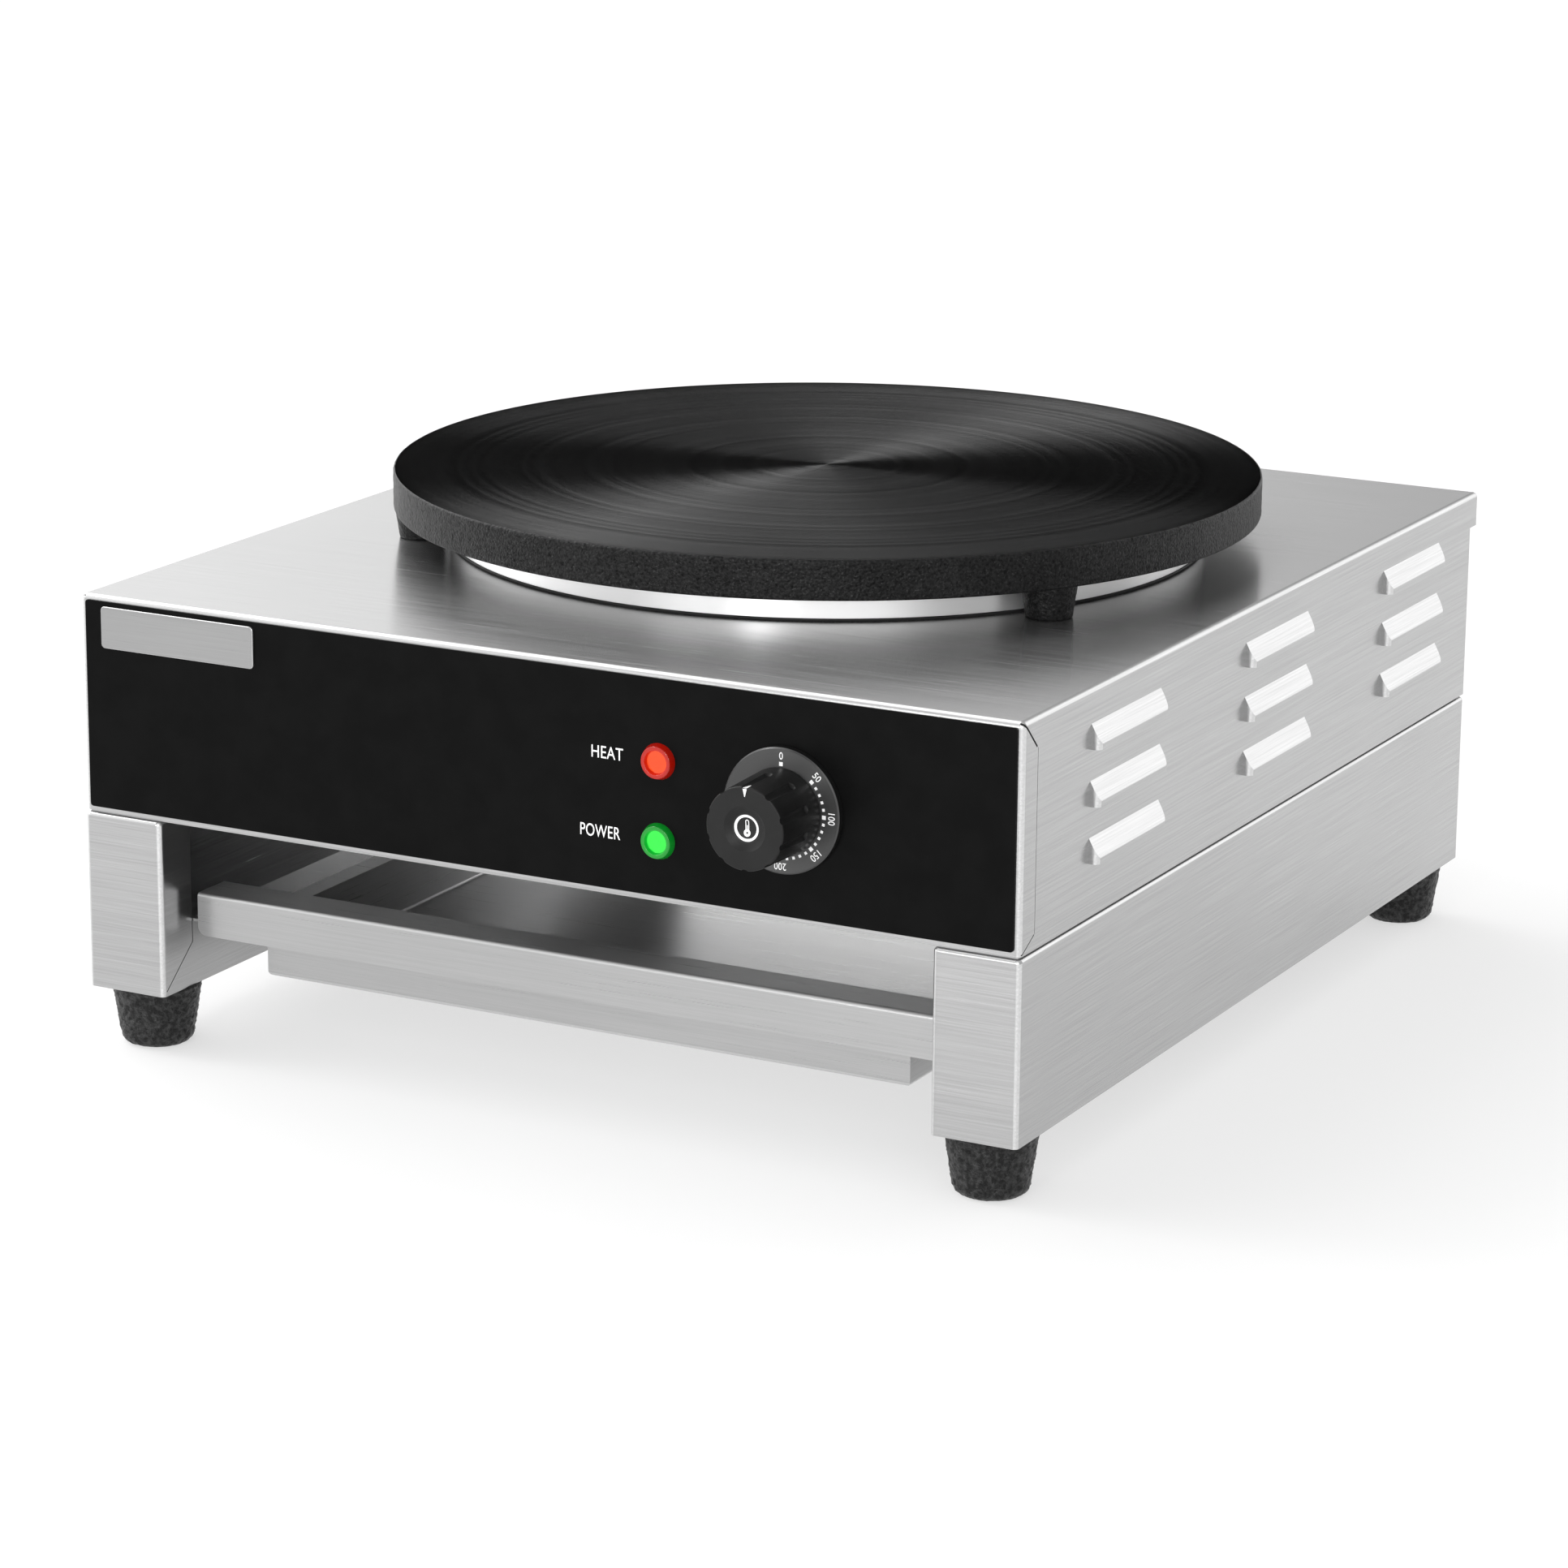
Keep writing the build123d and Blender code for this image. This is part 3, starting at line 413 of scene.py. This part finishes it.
def print_with_painted_glow():
    g = Graph("print_white")
    ink = g.noise(g.place(), 2600.0, 3.0)
    g.set(
        base_color=g.mix_color(g.remap(ink, 0.3, 0.7, 0.0, 1.0), grey(0.80), grey(0.92)),
        roughness=g.remap(ink, 0.3, 0.7, 0.42, 0.55),
        # painted light: the print has a faint glow of its own, though it is no lamp
        emission_color=grey(1.0),
        emission_strength=0.12,
    )
    return g.material


steel = brushed_steel("brushed_stainless")
tray_steel = brushed_steel("tray_stainless", tone=0.44, roughness=0.30, grain=0.6, metallic=0.85)
# painted light: a full-toned copy of the stainless, which makes the heater ring look lit in the shade under
# the plate
ring_steel_lightened = brushed_steel("bright_sheet", tone=1.0, roughness=0.36, anisotropic=0.6, grain=0.12,
                             metallic=0.8)
badge_metal = brushed_steel("badge_metal", tone=0.36, roughness=0.30, anisotropic=0.5, grain=0.6)
black_panel = moulding("black_panel", grey(0.0035), 0.32, specular=0.06, scale=2600.0, depth=0.00002,
                       strength=0.35)
finish = {
    "stainless": steel,
    "zinc_plated_steel": plain_metal("zinc_plated_steel", grey(0.62), 0.34),
    "black_panel": black_panel,
    "dark_ring": dial_metal(),
    "black_knob": moulding("black_knob", grey(0.009), 0.42, specular=0.26, scale=2300.0, depth=0.00006,
                           strength=0.6),
    "knob_insert": moulding("knob_insert", grey(0.016), 0.42, specular=0.25, scale=2300.0),
    "black_moulding": moulding("black_moulding", grey(0.022), 0.5),
    "cast_plate": raw_casting(),
    "mineral_board": moulding("mineral_board", (0.52, 0.49, 0.43, 1.0), 0.92, 0.1, 500.0, 0.0004, 0.8),
    "element_sheath": plain_metal("element_sheath", grey(0.22, 0.03), 0.42),
    "copper": plain_metal("copper", (0.72, 0.36, 0.22, 1.0), 0.3),
    "white_moulding": moulding("white_moulding", grey(0.72, 0.01), 0.5),
    "brass": plain_metal("brass", (0.70, 0.52, 0.25, 1.0), 0.3),
    "wire_sleeve": moulding("wire_sleeve", (0.36, 0.30, 0.25, 1.0), 0.6),
    "rubber": moulding("rubber", grey(0.010), 0.34, 0.42, 420.0, 0.0020, 1.0, glint=0.6),
    "red_lens": lamp_plastic("red_lens", "heat_lamp_lens", (0.30, 0.004, 0.001, 1.0), (1.0, 0.02, 0.0, 1.0),
                             (1.0, 0.075, 0.0, 1.0)),
    "green_lens": lamp_plastic("green_lens", "power_lamp_lens", (0.002, 0.16, 0.012, 1.0),
                               (0.0, 0.8, 0.05, 1.0), (0.03, 1.0, 0.07, 1.0)),
}
turned_top = turned_black()
glowing_white_ink = print_with_painted_glow()


def paint(thing, material):
    """Gives a carried-over piece its one material."""
    thing.data.materials.clear()
    thing.data.materials.append(material)


for thing in nodes.values():
    paint(thing, finish[thing.data.materials[0].name.split(".")[0]])
paint(nodes["heater_pan"], ring_steel_lightened)
paint(nodes["drip_drawer"], tray_steel)
paint(nodes["casing_floor"], tray_steel)
paint(nodes["badge_plate"], badge_metal)

# ---------------------------------------------------------------- meshes


def new_piece(name, mesh, material, body):
    thing = bpy.data.objects.new(name, mesh)
    bpy.context.scene.collection.objects.link(thing)
    mesh.materials.append(material)
    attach(thing, body)
    return thing


def lettering(name, text, height, matrix, align, narrow):
    """Raised lettering as a mesh: text in the XY plane of the matrix."""
    curve = bpy.data.curves.new(name, "FONT")
    curve.body = text
    curve.size = height / CAPITAL_SHARE
    curve.align_x = align
    curve.align_y = "CENTER"
    curve.extrude = INK_DEPTH / 2
    curve.offset = INK_BOLD
    curve.space_character = 1.04
    holder = bpy.data.objects.new(name + "_source", curve)
    bpy.context.scene.collection.objects.link(holder)
    bpy.context.view_layer.update()
    graph = bpy.context.evaluated_depsgraph_get()
    mesh = bpy.data.meshes.new_from_object(holder.evaluated_get(graph))
    bpy.data.objects.remove(holder)
    bpy.data.curves.remove(curve)
    mesh.transform(matrix @ Matrix.Diagonal((narrow, 1.0, 1.0, 1.0)))
    mesh.name = name
    return mesh


def facing_front(x, y, z, turn=0.0):
    """Matrix whose XY plane faces the cook, turned clockwise by the angle."""
    fold_highlight_by_facing = Matrix(((1, 0, 0), (0, 0, -1), (0, 1, 0))).to_4x4()
    return Matrix.Translation((x, y, z)) @ fold_highlight_by_facing @ Matrix.Rotation(-turn, 4, "Z")


def merged(name, meshes):
    """One mesh from several."""
    work = bmesh.new()
    for mesh in meshes:
        work.from_mesh(mesh)
    result = bpy.data.meshes.new(name)
    work.to_mesh(result)
    work.free()
    return result


def outline_mesh(name, points, matrix):
    """Flat closed outline as thick as the ink."""
    work = bmesh.new()
    ring = [work.verts.new((x, y, 0.0)) for x, y in points]
    face = work.faces.new(ring)
    made = bmesh.ops.extrude_face_region(work, geom=[face])
    lifted = [v for v in made["geom"] if isinstance(v, bmesh.types.BMVert)]
    bmesh.ops.translate(work, verts=lifted, vec=(0, 0, INK_DEPTH))
    bmesh.ops.recalc_face_normals(work, faces=work.faces)
    mesh = bpy.data.meshes.new(name)
    work.to_mesh(mesh)
    work.free()
    mesh.transform(matrix)
    return mesh


# ---------------------------------------------------------------- cooking plate and feet


def roughness_at(point, size, depth):
    """Height of a rough skin at a point: size is the length of its bumps."""
    return depth * noise.fractal(point / size, 0.6, 2.0, 3, noise_basis="PERLIN_ORIGINAL")


def turned(name, profile, steps, centre, skin=None, depth=0.0, size=1.0, split=None):
    """Solid of revolution about a vertical line. Profile is (radius, height) from the top middle
    round to the underside; skin gives the range of profile points that get a rough skin."""
    work = bmesh.new()
    rings = []
    for index, (radius, height) in enumerate(profile):
        if radius == 0.0:
            rings.append([work.verts.new((centre[0], centre[1], height))])
            continue
        ring = []
        for step in range(steps):
            angle = 2 * math.pi * step / steps
            outward = Vector((math.cos(angle), math.sin(angle), 0.0))
            point = Vector((centre[0], centre[1], height)) + outward * radius
            if skin and skin[0] <= index < skin[1]:
                point += outward * roughness_at(point, size, depth)
            ring.append(work.verts.new(point))
        rings.append(ring)
    for index in range(len(rings) - 1):
        upper, lower = rings[index], rings[index + 1]
        for step in range(steps):
            after = (step + 1) % steps
            if len(upper) == 1:
                corners = (upper[0], lower[step], lower[after])
            elif len(lower) == 1:
                corners = (upper[step], lower[0], upper[after])
            else:
                corners = (upper[step], lower[step], lower[after], upper[after])
            face = work.faces.new(corners)
            face.smooth = True
            face.material_index = 0 if split is None or index < split else 1
    bmesh.ops.recalc_face_normals(work, faces=work.faces)
    mesh = bpy.data.meshes.new(name)
    work.to_mesh(mesh)
    work.free()
    return mesh


def corner(radius, height, bend, start, steps=6):
    """Quarter-round of a profile about (radius, height), from an angle down through 90 degrees."""
    points = []
    for i in range(steps + 1):
        angle = math.radians(start - 90 * i / steps)
        points.append((radius + bend * math.cos(angle), height + bend * math.sin(angle)))
    return points


pan_low, pan_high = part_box("heater_pan")
pan_middle = (pan_low + pan_high) / 2
centre = (pan_middle.x, pan_middle.y)
plate_low_corner, plate_high_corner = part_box("cooking_plate")
plate_radius = (plate_high_corner.x - plate_low_corner.x) / 2
plate_top = plate_high_corner.z
plate_foot = plate_low_corner.z
plate_under = plate_top - PLATE_THICKNESS
wall_height = PLATE_THICKNESS - PLATE_TOP_BEND - PLATE_LOW_BEND
profile = [(plate_radius * i / FACE_RINGS, plate_top) for i in range(FACE_RINGS)]
profile += corner(plate_radius - PLATE_TOP_BEND, plate_top - PLATE_TOP_BEND, PLATE_TOP_BEND, 90)
profile += [(plate_radius, plate_top - PLATE_TOP_BEND - wall_height * i / WALL_RINGS)
            for i in range(1, WALL_RINGS)]
skin_start = FACE_RINGS + 2
skin_end = len(profile) + 3
profile += corner(plate_radius - PLATE_LOW_BEND, plate_under + PLATE_LOW_BEND, PLATE_LOW_BEND, 0)
profile += [(plate_radius - RIM_WIDTH, plate_under), (BOSS_RADIUS, plate_under),
            (BOSS_RADIUS, plate_under - BOSS_HEIGHT), (0.0, plate_under - BOSS_HEIGHT)]
casting = [turned("plate_body", profile, PLATE_STEPS, centre, skin=(skin_start, skin_end),
                  depth=PLATE_SKIN_DEPTH, size=CAST_SKIN_SIZE, split=skin_start)]
leg_top = plate_under + LEG_OVERLAP
leg_bottom = plate_foot + LEG_BEND
for angle in LEG_ANGLES:
    spot = (centre[0] + LEG_CIRCLE * math.cos(math.radians(angle)),
            centre[1] + LEG_CIRCLE * math.sin(math.radians(angle)))
    leg = [(0.0, leg_top)]
    for i in range(LEG_ROWS + 1):
        share = i / LEG_ROWS
        leg.append((LEG_TOP_RADIUS + (LEG_LOW_RADIUS - LEG_TOP_RADIUS) * share,
                    leg_top + (leg_bottom - leg_top) * share))
    leg += corner(LEG_LOW_RADIUS - LEG_BEND, leg_bottom, LEG_BEND, 0, 4)[1:] + [(0.0, plate_foot)]
    casting.append(turned("leg", leg, LEG_STEPS, spot, skin=(1, LEG_ROWS + 3),
                          depth=LEG_SKIN_DEPTH, size=CAST_SKIN_SIZE, split=0))
plate = new_piece("plate_casting", merged("plate_casting", casting), turned_top, "casing")
plate.data.materials.append(finish["cast_plate"])
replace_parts(plate, "cooking_plate")

for name in FOOT_NAMES:
    low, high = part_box(name)
    middle = (low + high) / 2
    top_radius = (high.x - low.x) / 2
    shape = [(FOOT_BORE, high.z), (top_radius - FOOT_TOP_BEND, high.z), (top_radius, high.z - FOOT_TOP_BEND)]
    for i in range(1, FOOT_ROWS):
        share = i / FOOT_ROWS
        shape.append((top_radius + (FOOT_LOW_RADIUS - top_radius) * share,
                      high.z + (low.z + FOOT_LOW_BEND - high.z) * share))
    shape += corner(FOOT_LOW_RADIUS - FOOT_LOW_BEND, low.z + FOOT_LOW_BEND, FOOT_LOW_BEND, 0, 8)
    step_z = low.z + FOOT_COUNTERBORE_DEPTH
    shape += [(FOOT_COUNTERBORE, low.z), (FOOT_COUNTERBORE, step_z), (FOOT_BORE, step_z), (FOOT_BORE, high.z)]
    mesh = turned(name + "_rubber", shape, FOOT_STEPS, (middle.x, middle.y), skin=(2, FOOT_ROWS + 9),
                  depth=FOOT_SKIN_DEPTH, size=FOOT_SKIN_SIZE)
    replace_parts(new_piece(name + "_rubber", mesh, finish["rubber"], "casing"), name)

# painted shade: a thin black ring stands in for the shadow in the gap at the foot of the heater ring
shade_ring_outer = (pan_high.x - pan_low.x) / 2 + SHADE_RING_OUTSIDE
shade_ring_inner = shade_ring_outer - SHADE_RING_WIDTH
shade_ring_top = pan_low.z + SHADE_RING_HEIGHT
shade_ring_shape = [(shade_ring_inner, shade_ring_top), (shade_ring_outer, shade_ring_top), (shade_ring_outer, pan_low.z),
              (shade_ring_inner, pan_low.z), (shade_ring_inner, shade_ring_top)]
new_piece("pan_seal", turned("pan_seal", shade_ring_shape, SHADE_RING_STEPS, centre), finish["black_moulding"], "casing")

# ---------------------------------------------------------------- control panel

panel_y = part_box("fascia")[0].y
for word, lamp, gap, narrow in WORDS:
    low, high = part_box(lamp)
    middle = (low + high) / 2
    spot = (middle.x - gap * MM, panel_y - INK_STAND, middle.z + WORD_RISE)
    mesh = lettering(word.lower() + "_word", word, WORD_HEIGHT, facing_front(*spot), "RIGHT", narrow)
    new_piece(word.lower() + "_word", mesh, glowing_white_ink, "casing")

ring_low, ring_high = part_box("dial_ring")
ring_middle = (ring_low + ring_high) / 2
ring_radius = (ring_high.x - ring_low.x) / 2
ring_y = ring_low.y - INK_STAND
scale_parts = []
digit_radius = ring_radius - DIGIT_INSET
tick_radius = ring_radius - TICK_INSET
for step in range(7):
    turn = math.radians(45 * step)
    spot = (ring_middle.x + digit_radius * math.sin(turn), ring_y,
            ring_middle.z + digit_radius * math.cos(turn))
    scale_parts.append(lettering(f"digit_{step}", str(50 * step), DIGIT_HEIGHT, facing_front(*spot, turn),
                                 "CENTER", 0.86))
for tick in range(31):
    if 0 < tick < 5:
        continue
    turn = math.radians(9 * tick)
    size = TICK_LARGE if tick % 5 == 0 else TICK_SMALL
    spot = (ring_middle.x + tick_radius * math.sin(turn), ring_y + INK_DEPTH / 2,
            ring_middle.z + tick_radius * math.cos(turn))
    square = [(-size, -size), (size, -size), (size, size), (-size, size)]
    scale_parts.append(outline_mesh(f"tick_{tick}", square, facing_front(*spot, turn)))
new_piece("dial_scale", merged("dial_scale", scale_parts), glowing_white_ink, "casing")

# ---------------------------------------------------------------- marks on the knob

knob_low, knob_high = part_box("knob")
knob_middle = (knob_low + knob_high) / 2


def on_dish(u, v, lift):
    """Point of the knob's dished face, u to the right and v up from its middle."""
    ball = (DISH_RADIUS ** 2 + DISH_DEPTH ** 2) / (2 * DISH_DEPTH)
    depth = DISH_DEPTH - ball + math.sqrt(ball ** 2 - u * u - v * v)
    return (knob_middle.x + u, knob_low.y + depth - lift, knob_middle.z + v)


def on_groove(u, v, lift):
    """Point of the top groove's floor, v back from the knob's face."""
    rise = GROOVE_CIRCLE - math.sqrt(GROOVE_RADIUS ** 2 - u * u)
    return (knob_middle.x + u, knob_low.y + v, knob_middle.z + rise + lift)


def on_face(u, v, lift):
    return (knob_middle.x + u, knob_low.y - lift, knob_middle.z + v)


def ribbon(name, rows, surface, lift, closed=False):
    """Thin solid over rows of (u, v) points laid on a surface."""
    work = bmesh.new()
    grids = []
    for height in (lift, -lift):
        grids.append([[work.verts.new(surface(u, v, height)) for u, v in row] for row in rows])
    top, bottom = grids
    count, wide = len(rows), len(rows[0])
    spans = [(i, (i + 1) % count) for i in range(count if closed else count - 1)]
    for i, j in spans:
        for k in range(wide - 1):
            work.faces.new((top[i][k], top[i][k + 1], top[j][k + 1], top[j][k]))
            work.faces.new((bottom[i][k], bottom[j][k], bottom[j][k + 1], bottom[i][k + 1]))
        for k, grid_order in ((0, 1), (wide - 1, -1)):
            quad = (top[i][k], top[j][k], bottom[j][k], bottom[i][k])
            work.faces.new(quad[::grid_order])
    if not closed:
        for i, order in ((0, 1), (count - 1, -1)):
            for k in range(wide - 1):
                quad = (top[i][k], bottom[i][k], bottom[i][k + 1], top[i][k + 1])
                work.faces.new(quad[::order])
    bmesh.ops.recalc_face_normals(work, faces=work.faces)
    mesh = bpy.data.meshes.new(name)
    work.to_mesh(mesh)
    work.free()
    return mesh


def arc_rows(radius0, radius1, start, stop, steps, centre=(0.0, 0.0)):
    rows = []
    for i in range(steps):
        angle = math.radians(start + (stop - start) * i / (steps if stop - start >= 360 else steps - 1))
        c, s = math.cos(angle), math.sin(angle)
        rows.append([(centre[0] + r * c, centre[1] + r * s) for r in (radius0, radius1)])
    return rows


def bar_rows(u0, u1, v0, v1, steps=4):
    rows = []
    for i in range(steps):
        v = v0 + (v1 - v0) * i / (steps - 1)
        rows.append([(u0, v), (u1, v)])
    return rows


icon = [
    ribbon("icon_ring", arc_rows(4.55 * MM, 5.65 * MM, 0, 360, 72), on_dish, INK_LIFT, closed=True),
    ribbon("icon_bulb", arc_rows(0.45 * MM, 1.55 * MM, 0, 360, 36, (0.0, -2.15 * MM)), on_dish, INK_LIFT,
           closed=True),
    ribbon("icon_top", arc_rows(0.50 * MM, 0.86 * MM, 0, 180, 12, (0.0, 2.65 * MM)), on_dish, INK_LIFT),
    ribbon("icon_left", bar_rows(-0.86 * MM, -0.50 * MM, -0.9 * MM, 2.65 * MM), on_dish, INK_LIFT),
    ribbon("icon_right", bar_rows(0.50 * MM, 0.86 * MM, -0.9 * MM, 2.65 * MM), on_dish, INK_LIFT),
    ribbon("icon_liquid", bar_rows(-0.22 * MM, 0.22 * MM, -1.7 * MM, 1.1 * MM), on_dish, INK_LIFT),
]
new_piece("knob_icon", merged("knob_icon", icon), glowing_white_ink, "control_knob")

pointer_face = [[(-w * MM, v * MM), (w * MM, v * MM)] for w, v in ((0.12, 13.6), (0.5, 15.2), (0.95, 16.95))]
pointer_top = [[(w * k * MM, v * MM) for k in (-1, -0.5, 0, 0.5, 1)]
               for w, v in ((1.0, 0.25), (0.85, 1.4), (0.55, 3.4), (0.15, 5.4))]
pointer = [ribbon("pointer_face", pointer_face, on_face, INK_LIFT),
           ribbon("pointer_top", pointer_top, on_groove, INK_LIFT)]
new_piece("knob_pointer", merged("knob_pointer", pointer), glowing_white_ink, "control_knob")

# ---------------------------------------------------------------- stage


def add_floor():
    """Pale floor with a glow of its own, which keeps the shadow on it faint."""
    work = bmesh.new()
    bmesh.ops.create_grid(work, x_segments=4, y_segments=4, size=30.0)
    mesh = bpy.data.meshes.new("floor")
    work.to_mesh(mesh)
    work.free()
    floor = bpy.data.objects.new("floor", mesh)
    bpy.context.scene.collection.objects.link(floor)
    g = Graph("pale_floor")
    g.set(base_color=g.mix_color(g.noise(g.place(), 3.0, 2.0), grey(0.40), grey(0.42)), roughness=0.9,
          specular_ior_level=0.1, emission_color=grey(1.0), emission_strength=0.58)
    mesh.materials.append(g.material)


def soft_light(name, spot, aim, size, power):
    data = bpy.data.lights.new(name, "AREA")
    data.shape = "RECTANGLE"
    data.size, data.size_y = size
    data.energy = power
    lamp = bpy.data.objects.new(name, data)
    bpy.context.scene.collection.objects.link(lamp)
    lamp.location = spot
    lamp.rotation_mode = "QUATERNION"
    lamp.rotation_quaternion = (Vector(aim) - Vector(spot)).to_track_quat("-Z", "Y")
    lamp.visible_camera = False


def studio_world():
    """Pale room with broad soft boxes, so that metal has something to reflect."""
    world = bpy.data.worlds.new("studio")
    bpy.context.scene.world = world
    world.use_nodes = True
    tree = world.node_tree
    background = tree.nodes["Background"]
    coordinates = tree.nodes.new("ShaderNodeTexCoord")
    toward = coordinates.outputs["Generated"]
    parts = tree.nodes.new("ShaderNodeSeparateXYZ")
    tree.links.new(toward, parts.inputs[0])

    def ramp(source, low0, high0, low1, high1):
        n = tree.nodes.new("ShaderNodeMapRange")
        n.interpolation_type = "SMOOTHSTEP"
        tree.links.new(source, n.inputs["Value"])
        for key, value in (("From Min", low0), ("From Max", high0), ("To Min", low1), ("To Max", high1)):
            n.inputs[key].default_value = value
        return n.outputs["Result"]

    low_band = ramp(parts.outputs[0], *WORLD_TURN, *WORLD_LOW)
    mix = tree.nodes.new("ShaderNodeMix")
    tree.links.new(ramp(parts.outputs[2], *WORLD_RISE, 0.0, 1.0), mix.inputs[0])
    tree.links.new(low_band, mix.inputs[2])
    mix.inputs[3].default_value = WORLD_TOP
    total = mix.outputs[0]
    for direction, reach, strength in SOFT_BOXES:
        dot = tree.nodes.new("ShaderNodeVectorMath")
        dot.operation = "DOT_PRODUCT"
        tree.links.new(toward, dot.inputs[0])
        dot.inputs[1].default_value = Vector(direction).normalized()
        add = tree.nodes.new("ShaderNodeMath")
        add.operation = "ADD"
        tree.links.new(total, add.inputs[0])
        tree.links.new(ramp(dot.outputs["Value"], *reach, 0.0, strength), add.inputs[1])
        total = add.outputs[0]
    tree.links.new(total, background.inputs["Strength"])
    background.inputs["Color"].default_value = (1.0, 1.0, 1.0, 1.0)


def add_camera():
    """Camera ahead of the machine and to its right, looking a little down."""
    place = Vector((1.0952, -2.0805, 0.7374))
    yaw, pitch, roll = (math.radians(v) for v in (27.86, 15.26, 0.46))
    forward = Vector((-math.sin(yaw) * math.cos(pitch), math.cos(yaw) * math.cos(pitch), -math.sin(pitch)))
    right = forward.cross(Vector((0, 0, 1))).normalized()
    up = right.cross(forward)
    right_rolled = math.cos(roll) * right + math.sin(roll) * up
    up_rolled = math.cos(roll) * up - math.sin(roll) * right
    turn = Matrix((right_rolled, up_rolled, -forward)).transposed()
    data = bpy.data.cameras.new("camera")
    data.sensor_width = 36.0
    data.lens = 120.67
    data.clip_start, data.clip_end = 0.05, 100.0
    camera = bpy.data.objects.new("camera", data)
    bpy.context.scene.collection.objects.link(camera)
    camera.matrix_world = Matrix.Translation(place) @ turn.to_4x4()
    bpy.context.scene.camera = camera


add_floor()
studio_world()
soft_light("key_light", (-1.9, -0.6, 2.3), (0.0, 0.0, 0.2), (0.7, 0.7), 10.0)
soft_light("bay_light", (-0.5, -2.4, 0.35), (0.0, 0.0, 0.08), (0.9, 0.3), 5.0)
soft_light("bay_fill", (-0.10, 0.235, 0.085), (-0.16, -0.3, 0.06), (0.18, 0.03), 0.11)
soft_light("spark_light", (0.35, -2.5, 0.75), (0.0, 0.0, 0.22), (0.25, 0.25), 7.0)
add_camera()
bpy.context.scene.view_settings.view_transform = "Standard"
